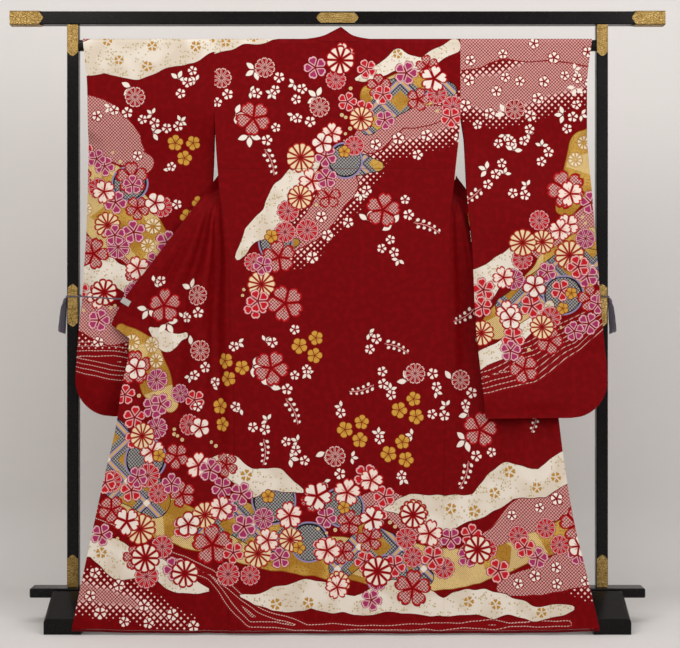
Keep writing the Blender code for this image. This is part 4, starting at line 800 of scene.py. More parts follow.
CLOTH_END = length_at(HEM_Z + 2 * ROLL_RADIUS + ROLL_GAP)
BACK_ROWS = rows_between((ARM_DROP, 36), (CLOTH_END, 262))
COLLAR_END_ROWS = length_at(COLLAR_END_Z + np.array([0.012, -COLLAR_END_SLANT]))
FRONT_ROWS = rows_between((ARM_DROP, 30), (0.455, 60), (COLLAR_END_ROWS[0], 50),
                          (COLLAR_END_ROWS[1], COLLAR_END_STEPS), (CLOTH_END, 108))
SLEEVE_ROWS = rows_between((ARM_DROP, 34), (0.30, 22), (0.90, 104),
                           (length_at(SLEEVE_BOTTOM + 0.02), 16), (length_at(SLEEVE_BOTTOM), 6))
# Where the clip bites: the middle of the collar's free edge between these two heights.
CLIP_ROWS = length_at(CLIP_Z + np.array([0.010, -0.010]))


def slant_share():
    """How far each column of the collar runs on past its last full row, for its slanted end."""
    full = COLLAR_END_ROWS[1] - COLLAR_END_ROWS[0]
    short = length_at(COLLAR_END_Z) - COLLAR_END_ROWS[0]
    return np.linspace(1.0, short / full, COLLAR_COLUMNS)


def hem_path():
    """Middle line of the rolled hem, from one front corner to the other."""
    fronts = []
    for side in (LEFT, RIGHT):
        body, flap, _ = front_pieces(side, FRONT_ROWS[-1:])[1]
        fronts.append(np.concatenate([body[0], flap[0]]))
    left, right = (back_panel(side, BACK_ROWS[-1:])[0] for side in (LEFT, RIGHT))
    path = np.concatenate([fronts[0][::-1], left, right[::-1][1:], fronts[1]])
    path[:, 2] -= ROLL_RADIUS + ROLL_GAP
    return path


def clip_frame(side):
    """The free edge where the clip bites: its place, and the outward, along and facing axes."""
    band = front_pieces(side, CLIP_ROWS)[1][2]
    place, inner = band[:, -1].mean(axis=0), band[:, -2].mean(axis=0)
    along = band[0, -1] - band[1, -1]
    along /= np.linalg.norm(along)
    outward = place - inner
    outward -= along * (along @ outward)
    outward /= np.linalg.norm(outward)
    return place, outward, along, np.cross(outward, along)


# Route of the left cord from the clip round its post, the post's middle at x 0: out from the
# post towards the body, depth, height. The right one is its mirror image, from its own clip.
CORD_ROUTE = ((0.034, -0.0228, 0.8762), (0.0215, -0.0205, 0.8768),
              (0.0100, -0.0196, 0.8770), (-0.0080, -0.0196, 0.8770), (-0.0150, -0.0186, 0.8770),
              (-0.0180, -0.0150, 0.8770), (-0.0184, 0.0000, 0.8770), (-0.0180, 0.0150, 0.8770),
              (-0.0150, 0.0180, 0.8772), (0.0000, 0.0184, 0.8776), (0.0150, 0.0180, 0.8782),
              (0.0180, 0.0150, 0.8786), (0.0186, 0.0000, 0.8800), (0.0192, -0.0100, 0.8816),
              (0.0196, -0.0160, 0.8822))
CORD_START = {LEFT: ((0.098, -0.0300, 0.8715), (0.058, -0.0262, 0.8745)),
              RIGHT: ((0.098, 0.0060, 0.8715), (0.058, -0.0100, 0.8745))}
CORD_START_GAP = 0.0015
CORD_STEP = 0.006


def distances(path):
    """Distance along a path to each of its points."""
    return np.concatenate([[0.0], np.cumsum(np.linalg.norm(np.diff(path, axis=0), axis=1))])


def cord_path(side):
    """Points of one cord, read from a smooth curve through its route."""
    place, outward, _, _ = clip_frame(side)
    route = [place + outward * (CLIP_EYE + CORD_START_GAP)]
    for inward, depth, height in CORD_START[side] + CORD_ROUTE:
        route.append((side * (POST_X - inward), POST_Y + depth, height))
    run = distances(np.array(route))
    wanted = np.linspace(0.0, run[-1], int(run[-1] / CORD_STEP))
    table = np.column_stack([run, route])
    return np.stack([through(table.tolist(), column, wanted) for column in (1, 2, 3)], axis=-1)


def finer(grid, *others):
    """The grids with straight columns put in wherever two are further apart than a print cell."""
    apart = np.linalg.norm(np.diff(grid, axis=1), axis=-1).max(axis=0)
    counts = np.maximum(np.ceil(apart / PRINT_CELL).astype(int), 1)
    places = np.concatenate([i + np.arange(n) / n for i, n in enumerate(counts)] + [[len(counts)]])
    first = np.minimum(places.astype(int), len(counts) - 1)
    part = (places - first)[:, None]
    return [g[:, first] * (1.0 - part) + g[:, first + 1] * part for g in (grid, *others)]


def closed_wall(grid, normals, outward):
    """Points and faces of a wall: the grid moved half a thickness to both sides, joined at its rim.

    The printed side's faces come first, one for each cell of the grid, then the inner side's.
    """
    rows, columns = grid.shape[:2]
    off = normals * outward * CLOTH / 2
    points = np.concatenate([(grid + off).reshape(-1, 3), (grid - off).reshape(-1, 3)])
    index = np.arange(rows * columns).reshape(rows, columns)
    quads = np.stack([index[:-1, :-1], index[1:, :-1], index[1:, 1:], index[:-1, 1:]], axis=-1)
    quads = quads.reshape(-1, 4)
    rim = np.concatenate([index[0, :], index[1:, -1], index[-1, -2::-1], index[-2:0:-1, 0]])
    after = np.roll(rim, -1)
    shift = rows * columns
    edge = np.stack([rim, after, after + shift, rim + shift], axis=1)
    if outward < 0:
        quads, edge = quads[:, ::-1], edge[:, ::-1]
    faces = np.concatenate([quads, quads[:, ::-1] + shift, edge])
    volume = np.linalg.det(points[faces[:, :3]]).sum()
    return points, faces if volume > 0 else faces[:, ::-1]


def wall_object(name, grid, normals, outward, chart, collection, inner_material):
    """A closed wall of cloth as an object, with all that its print reads stored on the mesh.

    outward is +1 or -1 times the normals for the printed side. The chart's place is stored as a
    UV map, the depth inside each field on the points, and the nearest blossom on the corners.
    """
    grid, normals, chart = finer(grid, normals, chart)
    normals /= np.linalg.norm(normals, axis=-1, keepdims=True)
    points, faces = closed_wall(grid, normals, outward)
    mesh = bpy.data.meshes.new(name)
    mesh.vertices.add(len(points))
    mesh.vertices.foreach_set("co", points.ravel())
    mesh.loops.add(faces.size)
    mesh.loops.foreach_set("vertex_index", faces.ravel())
    mesh.polygons.add(len(faces))
    mesh.polygons.foreach_set("loop_start", np.arange(0, faces.size, 4))
    cells = (grid.shape[0] - 1) * (grid.shape[1] - 1)
    slots = np.zeros(len(faces), int)
    slots[cells:2 * cells] = 1
    mesh.polygons.foreach_set("material_index", slots)
    mesh.update(calc_edges=True)
    mesh.validate()
    mesh.shade_smooth()
    mesh.set_sharp_from_angle(angle=math.radians(50))
    places = np.tile(chart.reshape(-1, 2), (2, 1))
    uv_map = mesh.uv_layers.new(name="chart")
    uv_map.uv.foreach_set("vector", places[faces.ravel()].ravel())
    for field in PRINTED_FIELDS:
        depth = mesh.attributes.new(field, "FLOAT", "POINT")
        depth.data.foreach_set("value", stroke_depth(places, FIELDS[field]))
    for layer, marks in PLANTED.items():
        print_blossoms(mesh, faces, places, layer, marks)
    made = bpy.data.objects.new(name, mesh)
    collection.objects.link(made)
    made.data.materials.append(bpy.data.materials["crimson_silk_print"])
    made.data.materials.append(bpy.data.materials[inner_material])
    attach(made, "root")
    return made


def print_blossoms(mesh, faces, places, layer, marks):
    """Stores the nearest blossom of each face on its corners, and the corners' places on it."""
    middle = places[faces].mean(axis=1)
    low, high = middle.min(axis=0) - 0.1, middle.max(axis=0) + 0.1
    near = ((marks[:, :2] > low) & (marks[:, :2] < high)).all(axis=1)
    marks = marks[near] if near.any() else marks[:1]
    nearest = np.zeros(len(faces), int)
    at_once = 4096
    for start in range(0, len(faces), at_once):
        part = middle[start:start + at_once]
        away = np.hypot(part[:, None, 0] - marks[None, :, 0], part[:, None, 1] - marks[None, :, 1])
        nearest[start:start + at_once] = (away / marks[None, :, 2]).argmin(axis=1)
    chosen = marks[nearest]
    kinds = list(BLOOMS.values())
    counts = np.array([kind[0] for kind in kinds], float)
    kind = chosen[:, 4].astype(int)
    offset = (places[faces] - chosen[:, None, :2]) / chosen[:, None, 2:3]
    cos, sin = np.cos(chosen[:, 3])[:, None], np.sin(chosen[:, 3])[:, None]
    x = offset[..., 0] * cos + offset[..., 1] * sin
    y = offset[..., 1] * cos - offset[..., 0] * sin
    corners = faces.shape[1]
    place = np.stack([x, y, np.repeat(counts[kind][:, None], corners, axis=1)], axis=-1)
    mesh.attributes.new(layer, "FLOAT_VECTOR", "CORNER").data.foreach_set("vector", place.ravel())
    for part, colour, extra in (("petal", 1, 3), ("outline", 2, 4)):
        values = np.array([(*srgb(kind[colour]), kind[extra]) for kind in kinds])
        colours = np.repeat(values[kind][:, None, :], corners, axis=1)
        attribute = mesh.attributes.new(f"{layer}_{part}", "FLOAT_COLOR", "CORNER")
        attribute.data.foreach_set("color", colours.ravel())


def creases(places, table):
    """Soft troughs and ridges: each fades across its width and towards both its ends."""
    total = np.zeros(places.shape[:-1])
    for x0, z0, x1, z1, width, depth in table:
        start, step = np.array([x0, z0]), np.array([x1 - x0, z1 - z0])
        part = ((places - start) @ step) / (step @ step)
        inside = np.clip(part, 0.0, 1.0)
        away = np.linalg.norm(places - (start + inside[..., None] * step), axis=-1)
        spread_out = width * (0.6 + 0.9 * inside)
        total += depth * np.exp(-((away / spread_out) ** 2)) * np.sin(np.pi * inside) ** 0.5
    return total


class NodeMaker:
    """Adds the nodes of one material. A kind in capitals is a math node's operation.

    A noise takes its place, an unused input, its scale in repeats a metre, detail and roughness.
    """

    def __init__(self, name):
        self.material = bpy.data.materials.new(name)
        self.material.use_nodes = True
        self.tree = self.material.node_tree
        self.shader = self.tree.nodes["Principled BSDF"]

    def add(self, kind, *values, out=0, **settings):
        """A node of this kind, each value linked or set in its input of the same order."""
        if kind.isupper():
            settings["operation"], kind = kind, "Math"
        node = self.tree.nodes.new("ShaderNode" + kind)
        for name, setting in settings.items():
            setattr(node, name, setting)
        for socket, value in zip(node.inputs, values):
            self.join(value, socket)
        return node.outputs[out]

    def join(self, value, socket):
        """Links a socket to an input, or sets the input to a value."""
        if isinstance(value, bpy.types.NodeSocket):
            self.tree.links.new(value, socket)
        elif value is not None:
            socket.default_value = value

    def set(self, **inputs):
        """Values or links of the surface shader's inputs, spaces written as underscores."""
        for name, value in inputs.items():
            self.join(value, self.shader.inputs[name.replace("_", " ")])

    def over(self, under, colour, mask):
        """One colour over another where the mask is 1."""
        pair = (srgb(value) + (1.0,) if isinstance(value, str) else value for value in (under, colour))
        return self.add("MixRGB", mask, *pair)

    def inside(self, depth, soft=0.0006):
        """1 where a depth is above 0, with a narrow soft edge."""
        return self.add("MULTIPLY_ADD", depth, 1.0 / soft, 0.5, use_clamp=True)

    def within(self, limit, value, soft):
        """1 where a value is below a limit, with a soft edge."""
        return self.inside(self.add("SUBTRACT", limit, value), soft)

    def length(self, x, y):
        """Distance of a point from the middle."""
        squares = self.add("ADD", self.add("MULTIPLY", x, x), self.add("MULTIPLY", y, y))
        return self.add("POWER", squares, 0.5)

    def named(self, name, out=1):
        """A named attribute: out 0 is its colour, 1 its vector, 2 its value, 3 its alpha."""
        return self.add("Attribute", attribute_name=name, out=out)


class SilkMaker(NodeMaker):
    """The printed silk's nodes: its chart, what its fields share, and how a field is edged."""

    def __init__(self, name, dot_pitch):
        super().__init__(name)
        self.chart = self.add("UVMap", uv_map="chart")
        self.across, self.height, _ = self.add("SeparateXYZ", self.chart).node.outputs
        self.slants = [self.add(kind, self.across, self.height) for kind in ("ADD", "SUBTRACT")]
        self.wobble = self.add("TexNoise", self.chart, None, 13.0, 1.0, 0.4, noise_dimensions="2D")
        self.specks = self.add("TexNoise", self.chart, None, 230.0, 2.0, 0.6, noise_dimensions="2D")
        # Tie-dyed dots, each a pale ring round a dark point, on a slanted grid. It is coarser than
        # the real 3 mm, which a picture of the whole garment can't hold.
        self.dot_pitch = dot_pitch
        from_dot = self.from_grid(dot_pitch)
        ring = self.within(0.345, from_dot, 0.06)
        self.dots = self.add("MULTIPLY", ring, self.within(from_dot, 0.12, 0.06))

    def phase(self, value, period):
        """Place within a pattern's repeat of this length, from 0 to 1."""
        return self.add("FRACT", self.add("MULTIPLY", value, 1.0 / period))

    def off_lines(self, pitch):
        """Distances from the nearest lines of a slanted grid both ways, in the grid's own pitch."""
        cells = [self.phase(slant, pitch) for slant in self.slants]
        return [self.add("ABSOLUTE", self.add("SUBTRACT", cell, 0.5)) for cell in cells]

    def from_grid(self, pitch):
        """Distance from the nearest crossing of a slanted grid, in the grid's own pitch."""
        return self.add("MAXIMUM", *self.off_lines(pitch))

    def depth(self, field, wave):
        """A field's depth with its edge made uneven."""
        drift = self.add("SUBTRACT", self.wobble, 0.5)
        return self.add("MULTIPLY_ADD", drift, wave, self.named(field, 2))

    def banded(self, under, inner, field, wave, line, line_width):
        """A field over what lies under it, with a dyed line round its edge."""
        depth = self.depth(field, wave)
        under = self.over(under, line, self.inside(self.add("ADD", depth, line_width)))
        return self.over(under, inner, self.inside(depth))


def water_lines(m, ground):
    """Water: a darker red with stitched lines that follow the field's own edge."""
    water = m.depth("water", 0.014)
    ripple = m.add("ABSOLUTE", m.add("SUBTRACT", m.phase(water, 0.0125), 0.5))
    line = m.within(0.075, ripple, 0.05)
    stitch = m.within(m.phase(m.slants[1], 0.008), 0.34, 0.1)
    flow = m.over(ground, "#76080d", m.inside(water))
    return m.over(flow, "#cdaaa0", m.add("MULTIPLY", m.add("MULTIPLY", line, stitch), m.inside(water)))


def spray_dots(m, under, dotted):
    """Spray: loose dots, twice as far apart, that grow and close up into the dotted ground."""
    spray = m.depth("spray", 0.022)
    grown = m.add("MULTIPLY_ADD", spray, 1.0 / 0.20, 0.10)
    loose = m.within(grown, m.from_grid(2.0 * m.dot_pitch), 0.08)
    colour = m.over(under, "#e8c6c0", m.add("MULTIPLY", loose, m.inside(spray)))
    return m.over(colour, dotted, m.within(spray, 0.046, 0.012))


def gold_paint(m):
    """Gold paint: two golds in soft patches, with brown specks where the silk shows through."""
    paint = m.over("#a2742a", "#bd9546", m.add("MapRange", m.wobble, 0.40, 0.62, 0.0, 1.0))
    return m.over(paint, "#7c5a20", m.add("MapRange", m.specks, 0.50, 0.66, 0.0, 0.75))


def gold_ground(m, paint):
    """Gold ground: uneven patches of gold paint, about half of them hatched with pale lines."""
    hatched = m.over(paint, "#d6c391", m.within(m.phase(m.slants[0], 0.0052), 0.5, 0.2))
    patch = m.add("TexVoronoi", m.chart, None, 11.0, voronoi_dimensions="2D", out=1)
    return m.over(paint, hatched, m.within(m.add("SeparateColor", patch), 0.52, 0.01))


def lattice(m, pitch, dotted, paint):
    """Lattice: bars at 45 degrees with lilac and gold stripes, knots where they cross, gold panes."""
    off_bars = m.off_lines(pitch)
    bar, corner = m.add("MINIMUM", *off_bars), m.add("MAXIMUM", *off_bars)
    colour = m.over(dotted, paint, m.within(bar, 0.24, 0.01))
    for stripe, half_width in (("#17161b", 0.105), ("#8f84a6", 0.080), ("#c49d58", 0.034)):
        colour = m.over(colour, stripe, m.within(half_width, bar, 0.01))
    return m.over(colour, "#d9cfc0", m.within(0.085, corner, 0.01))


def cream_mist(m):
    """Cream mist: faintly mottled silk with specks of gold leaf, finer than can be counted."""
    flake = m.add("TexVoronoi", m.chart, None, 150.0, voronoi_dimensions="2D")
    drift = m.add("TexNoise", m.chart, None, 26.0, 1.0, 0.5, noise_dimensions="2D")
    rare = m.add("MapRange", drift, 0.42, 0.66, 0.90, 0.50)
    kept = m.add("GREATER_THAN", m.add("SeparateColor", flake.node.outputs[1]), rare)
    ragged = m.add("MULTIPLY_ADD", m.add("SUBTRACT", m.specks, 0.5), 1.6, flake)
    speck = m.add("MULTIPLY", m.within(0.30, ragged, 0.12), kept)
    cream = m.over("#d8cfc2", "#cbbfae", m.add("MapRange", m.wobble, 0.42, 0.62, 0.0, 1.0))
    return m.over(cream, "#a5925a", m.add("MULTIPLY", speck, 0.85))


def make_silk(cloth, dot_pitch, lattice_pitch):
    """Crimson silk crepe with its dyed print.

    A faint damask and a soft sheen give the plain ground life. The fields lie over it, each in a
    dyed outline: water, dots, gold ground, a lattice, rings and cream mist, then the blossoms.
    """
    m = SilkMaker("crimson_silk_print", dot_pitch)
    crimson, deep = (*cloth.crimson, 1.0), (*cloth.crimson_deep, 1.0)
    worn = (*(value * 1.12 for value in cloth.crimson), 1.0)
    grain = m.add("TexNoise", m.chart, None, 420.0, 2.0, 0.6, noise_dimensions="2D")
    damask = m.add("TexVoronoi", m.chart, None, 75.0, feature="SMOOTH_F1", voronoi_dimensions="2D")
    # The damask is hardly seen but breaks the ground's flat red, as a woven figure does.
    figure = m.add("MapRange", damask, 0.30, 0.62, 0.0, 1.0, interpolation_type="SMOOTHSTEP")
    rubbed = m.add("MULTIPLY", m.add("SUBTRACT", grain, 0.5, use_clamp=True), 0.5)
    ground = m.over(m.over(deep, crimson, figure), worn, rubbed)

    dotted = m.over(ground, "#dda9a4", m.dots)
    grey_dotted = m.over("#17161b", "#a9a7a4", m.dots)
    ringed = m.over(grey_dotted, "#17161b", m.inside(m.add("SUBTRACT", 0.0035, m.named("ring", 2))))
    paint = gold_paint(m)
    colour = spray_dots(m, water_lines(m, ground), dotted)
    # Field, what fills it, how uneven its edge is, and its outline's colour and width.
    for field, filling, wave, line, line_width in (
            ("dapple", dotted, 0.022, "#7c070d", 0.0034),
            ("gold", gold_ground(m, paint), 0.020, "#8c5a18", 0.0018),
            ("trellis", lattice(m, lattice_pitch, grey_dotted, paint), 0.012, "#17161b", 0.0020),
            ("ring", ringed, 0.010, "#877d9e", 0.0045),
            ("cream", cream_mist(m), 0.030, "#5e070b", 0.0018)):
        colour = m.banded(colour, filling, field, wave, line, line_width)
    for layer in ("lower", "upper"):
        colour = blossoms(m, colour, layer, crimson)

    # The tuck across the back shows as a hair line of painted shade, a darker red along its fold.
    off_tuck = m.add("ABSOLUTE", m.add("SUBTRACT", m.height, TUCK_Z))
    on_body = m.add("LESS_THAN", m.add("ABSOLUTE", m.across), ARM_X)
    painted_tuck_shade = m.add("MULTIPLY", m.within(0.0012, off_tuck, 0.001), on_body)
    colour = m.over(colour, "#5c0408", m.add("MULTIPLY", painted_tuck_shade, 0.55))

    relief = m.add("MULTIPLY_ADD", grain, 0.30, m.add("MULTIPLY", figure, 0.25))
    bump = m.add("Bump", 0.25, 0.0006, None, None)
    m.join(relief, bump.node.inputs["Height"])
    m.set(Base_Color=colour, Roughness=0.60, Normal=bump, Specular_IOR_Level=0.04,
          Sheen_Weight=0.015, Sheen_Roughness=0.4, Sheen_Tint=(0.9, 0.5, 0.45, 1.0))


def berry_sprays(m, colour, x, y, chosen, berry_colour, stem_colour):
    """Hanging sprays: a bent thin stem with stalked berries that shrink towards its tip.

    The stem lies along x from -0.8 to 0.8. The berries stand by turns on its two sides, in cells
    of 0.36. All lengths are shares of the spray's radius.
    """
    y = m.add("MULTIPLY_ADD", m.add("MULTIPLY", x, x), 0.22, y)
    aside, from_middle = m.add("ABSOLUTE", y), m.add("ABSOLUTE", x)
    along = m.add("MULTIPLY_ADD", x, 0.5, 0.5)
    side = m.add("MULTIPLY", m.add("GREATER_THAN", y, 0.0), 0.5)
    cell = m.add("SUBTRACT", m.add("FRACT", m.add("MULTIPLY_ADD", x, 1.0 / 0.36, side)), 0.5)
    step_x = m.add("MULTIPLY", cell, 0.36)
    step_y = m.add("ADD", m.add("MULTIPLY_ADD", along, 0.12, -0.24), aside)
    berry = m.add("SUBTRACT", m.add("MULTIPLY_ADD", along, -0.045, 0.110), m.length(step_x, step_y))
    left = m.add("SUBTRACT", m.add("MULTIPLY_ADD", side, 0.36, 0.72), from_middle)
    stem = m.add("MINIMUM", m.add("SUBTRACT", 0.024, aside), m.add("SUBTRACT", 0.80, from_middle))
    slant = m.add("ABSOLUTE", m.add("MULTIPLY_ADD", step_y, -0.7, step_x))
    stalk = m.add("MINIMUM", m.add("SUBTRACT", 0.020, slant), m.add("MULTIPLY", step_y, -1.0))
    line = m.inside(m.add("MAXIMUM", stem, m.add("MINIMUM", stalk, left)), 0.02)
    colour = m.over(colour, stem_colour, m.add("MULTIPLY", line, chosen))
    berry = m.inside(m.add("MINIMUM", berry, left), 0.03)
    return m.over(colour, berry_colour, m.add("MULTIPLY", berry, chosen))


def fan_leaves(m, radius, from_axis, turn):
    """Mask of three lens-shaped leaves that spread from the middle."""
    swell = m.add("MULTIPLY", m.add("SUBTRACT", radius, 0.14, use_clamp=True), math.pi / 0.86)
    leaf = m.add("SUBTRACT", m.add("MULTIPLY", m.add("SINE", swell), 0.23), from_axis)
    leaf = m.add("MINIMUM", leaf, m.add("SUBTRACT", 0.98, radius))
    side = m.add("SUBTRACT", 1.5, m.add("ABSOLUTE", m.add("SUBTRACT", turn, 0.5)))
    return m.inside(m.add("MINIMUM", leaf, side), 0.05)


def blossoms(m, colour, layer, ground):
    """One layer of blossoms, leaf fans and sprays over a colour, in polar form about their middles.

    Petals are lobes between equal gaps, nicked at their tips. Lengths are shares of the radius.
    """
    x, y, count = m.add("SeparateXYZ", m.named(layer)).node.outputs
    petals = m.add("FLOOR", m.add("ADD", count, 0.01))
    fan = m.add("GREATER_THAN", m.add("SUBTRACT", count, petals), 0.45)
    whole = m.add("SUBTRACT", 1.0, fan)
    radius = m.length(x, y)
    turn = m.add("MULTIPLY", m.add("MULTIPLY", m.add("ARCTAN2", y, x), petals), 0.5 / math.pi)
    off_axis = m.add("ABSOLUTE", m.add("SUBTRACT", m.add("FRACT", turn), 0.5))
    off_axis = m.add("MULTIPLY", off_axis, 2.0)
    arc = m.add("DIVIDE", m.add("MULTIPLY", radius, math.pi), petals)
    from_axis = m.add("MULTIPLY", off_axis, arc)
    from_gap = m.add("MULTIPLY", m.add("SUBTRACT", 1.0, off_axis), arc)

    # The petals' reach: full at their axes, down to a root between them. Many petals lie closer.
    lobe = m.add("POWER", m.add("SUBTRACT", 1.0, m.add("POWER", off_axis, 2.4), use_clamp=True), 0.5)
    many = m.add("GREATER_THAN", petals, 7.0)
    gap = m.add("MULTIPLY", m.add("SUBTRACT", count, petals), 0.4)
    few_root = m.add("MULTIPLY_ADD", m.add("MINIMUM", gap, 0.14), -3.2, 0.72)
    root = m.add("MAXIMUM", m.add("MULTIPLY", many, 0.76), few_root)
    reach = m.add("MULTIPLY_ADD", m.add("SUBTRACT", 1.0, root), lobe, root)
    notch = m.named(layer + "_outline", 3)
    nick = m.add("MULTIPLY", m.add("MULTIPLY_ADD", off_axis, -5.0, 1.0, use_clamp=True), notch)
    edge_depth = m.add("SUBTRACT", m.add("SUBTRACT", reach, m.add("MULTIPLY", nick, 0.16)), radius)

    # A ring of plain ground, the outline, the petals within it, and the stamens' threads.
    halo = m.inside(m.add("ADD", edge_depth, 0.075), 0.05)
    halo = m.add("MULTIPLY", halo, m.add("LESS_THAN", notch, 1.05))
    parting = m.add("MULTIPLY_ADD", gap, -0.46, from_gap)
    flower = m.inside(m.add("MINIMUM", m.add("ADD", edge_depth, 0.018), parting), 0.05)
    rim = m.add("MULTIPLY_ADD", gap, 0.55, 0.03)
    petal = m.add("MINIMUM", m.add("SUBTRACT", edge_depth, rim), m.add("SUBTRACT", from_gap, gap))
    petal = m.inside(m.add("MINIMUM", petal, m.add("SUBTRACT", radius, 0.13)), 0.05)
    thread = m.add("MINIMUM", m.add("SUBTRACT", 0.020, from_axis), m.add("SUBTRACT", 0.48, radius))
    thread = m.inside(m.add("MINIMUM", thread, m.add("SUBTRACT", radius, 0.2)), 0.03)

    petal_colour, outline = m.named(layer + "_petal", 0), m.named(layer + "_outline", 0)
    blush = m.add("MULTIPLY", m.add("SUBTRACT", 0.50, radius, use_clamp=True), 0.4)
    undyed = m.add("MULTIPLY", m.named(layer + "_petal", 3), m.add("SUBTRACT", 1.0, m.dots))
    fill = m.over(m.over(petal_colour, outline, blush), ground, undyed)
    for paint, mask in ((ground, halo), (outline, flower), (fill, petal)):
        colour = m.over(colour, paint, m.add("MULTIPLY", mask, whole))
    few = m.add("MULTIPLY", m.add("SUBTRACT", 1.0, many), m.add("LESS_THAN", gap, 0.10))
    colour = m.over(colour, outline, m.add("MULTIPLY", m.add("MULTIPLY", thread, whole), few))
    spray = m.add("MULTIPLY", fan, m.add("LESS_THAN", petals, 2.5))
    leaf = fan_leaves(m, radius, from_axis, turn)
    colour = m.over(colour, petal_colour, m.add("MULTIPLY", leaf, m.add("SUBTRACT", fan, spray)))
    if layer == "lower":
        colour = berry_sprays(m, colour, x, y, spray, petal_colour, outline)
    return colour


def make_facing(cloth):
    """Dark red silk of the facing and the rolled hem: a soft, slightly uneven colour."""
    m = NodeMaker("facing_silk")
    spot = m.add("TexCoord", out=3)
    cloud = m.add("TexNoise", spot, None, 30.0, 3.0, 0.6)
    darker = (*(value * 0.75 for value in cloth.facing), 1.0)
    shade = m.over((*cloth.facing, 1.0), darker, m.add("MapRange", cloud, 0.4, 0.65, 0.0, 1.0))
    m.set(Base_Color=shade, Roughness=0.60, Specular_IOR_Level=0.06, Sheen_Weight=0.02,
          Sheen_Roughness=0.4)


def make_lining(cloth):
    """The silk's inside: cream lining, with the dark red facing below the knee."""
    m = NodeMaker("lining_silk")
    spot = m.add("TexCoord", out=3)
    _, _, height = m.add("SeparateXYZ", spot).node.outputs
    cloud = m.add("TexNoise", spot, None, 70.0, 2.0, 0.5)
    low = m.inside(m.add("SUBTRACT", 0.52, height), 0.002)
    mottle = m.add("MapRange", cloud, 0.4, 0.65, 0.0, 1.0)
    cream = m.over("#e9decf", "#e3d6c4", mottle)
    darker = (*(value * 0.75 for value in cloth.facing), 1.0)
    facing = m.over((*cloth.facing, 1.0), darker, mottle)
    bump = m.add("Bump", 0.10, 0.0004)
    m.join(m.add("TexNoise", spot, None, 700.0, 2.0, 0.6), bump.node.inputs["Height"])
    m.set(Base_Color=m.over(cream, facing, low), Roughness=0.55, Normal=bump, Sheen_Weight=0.2,
          Sheen_Roughness=0.4)


def make_lacquer():
    """Black lacquer: almost black, mirror-smooth coat over faint long waves of the wood."""
    m = NodeMaker("black_lacquer_coat")
    spot = m.add("TexCoord", out=3)
    waves = m.add("TexNoise", spot, None, 9.0, 2.0, 0.5)
    dust = m.add("TexNoise", spot, None, 160.0, 3.0, 0.6)
    colour = m.over("#0b0909", "#141011", m.add("MapRange", dust, 0.45, 0.75, 0.0, 1.0))
    rough = m.add("MapRange", waves, 0.3, 0.7, 0.20, 0.30)
    bump = m.add("Bump", 0.05, 0.002)
    m.join(waves, bump.node.inputs["Height"])
    m.set(Base_Color=colour, Roughness=rough, Normal=bump, Specular_IOR_Level=0.12,
          Coat_Weight=0.06, Coat_Roughness=0.10)


def make_brass():
    """Brass fittings engraved with fine scrolls, worn paler on the ridges, dull in the lines."""
    m = NodeMaker("engraved_brass")
    spot = m.add("TexCoord", out=3)
    scroll = m.add("TexVoronoi", spot, None, 130.0, feature="DISTANCE_TO_EDGE")
    ring = m.add("TexWave", spot, 90.0, 9.0, 2.0, wave_type="RINGS")
    cut = m.add("MINIMUM", m.add("MULTIPLY", scroll, 5.0, use_clamp=True), ring)
    tarnish = m.add("TexNoise", spot, None, 60.0, 3.0, 0.6)
    metal = m.over("#bb9f66", "#9a7d44", m.add("MapRange", tarnish, 0.4, 0.7, 0.0, 1.0))
    colour = m.over("#6d5527", metal, m.add("MapRange", cut, 0.05, 0.45, 0.0, 1.0))
    bump = m.add("Bump", 0.5, 0.0006)
    m.join(cut, bump.node.inputs["Height"])
    m.set(Base_Color=colour, Metallic=1.0, Roughness=m.add("MapRange", cut, 0.0, 0.5, 0.55, 0.34),
          Normal=bump)


def make_cord_silk():
    """Twisted rayon cord: grey purple with fine paler flecks, soft and dull."""
    m = NodeMaker("purple_cord_silk")
    spot = m.add("TexCoord", out=3)
    fuzz = m.add("TexNoise", spot, None, 900.0, 2.0, 0.7)
    colour = m.over("#39323f", "#62576a", m.add("MapRange", fuzz, 0.35, 0.7, 0.0, 1.0))
    m.set(Base_Color=colour, Roughness=0.7, Sheen_Weight=0.4, Sheen_Roughness=0.5)


def make_clip_plastic():
    """Clear clip plastic: pale and glossy, part of the light passing through."""
    m = NodeMaker("clear_clip_plastic")
    spot = m.add("TexCoord", out=3)
    haze = m.add("TexNoise", spot, None, 200.0, 2.0, 0.5)
    m.set(Base_Color=m.over("#dcd9d4", "#f4f2ee", haze), Roughness=0.18, Transmission_Weight=0.6)


def make_paper(stage):
    """Matt paper of the backdrop and floor, with a trace of unevenness."""
    m = NodeMaker("pale_paper")
    spot = m.add("TexCoord", out=3)
    mottle = m.add("TexNoise", spot, None, 1.5, 2.0, 0.5)
    darker = (*(value * 0.97 for value in stage.wall), 1.0)
    m.set(Base_Color=m.over((*stage.wall, 1.0), darker, mottle), Roughness=0.9,
          Specular_IOR_Level=0.1)
    # The sheet has one side only, so that views from behind it see the furisode's front.
    behind = m.add("NewGeometry", out=6)
    sheet = m.add("MixShader", behind, m.shader.outputs[0], m.add("BsdfTransparent"))
    m.join(sheet, m.tree.nodes["Material Output"].inputs["Surface"])


def body_chart(grid, across):
    """Places on the print chart: the given place across, and the grid's own height."""
    return np.stack([across, grid[..., 2]], axis=-1)


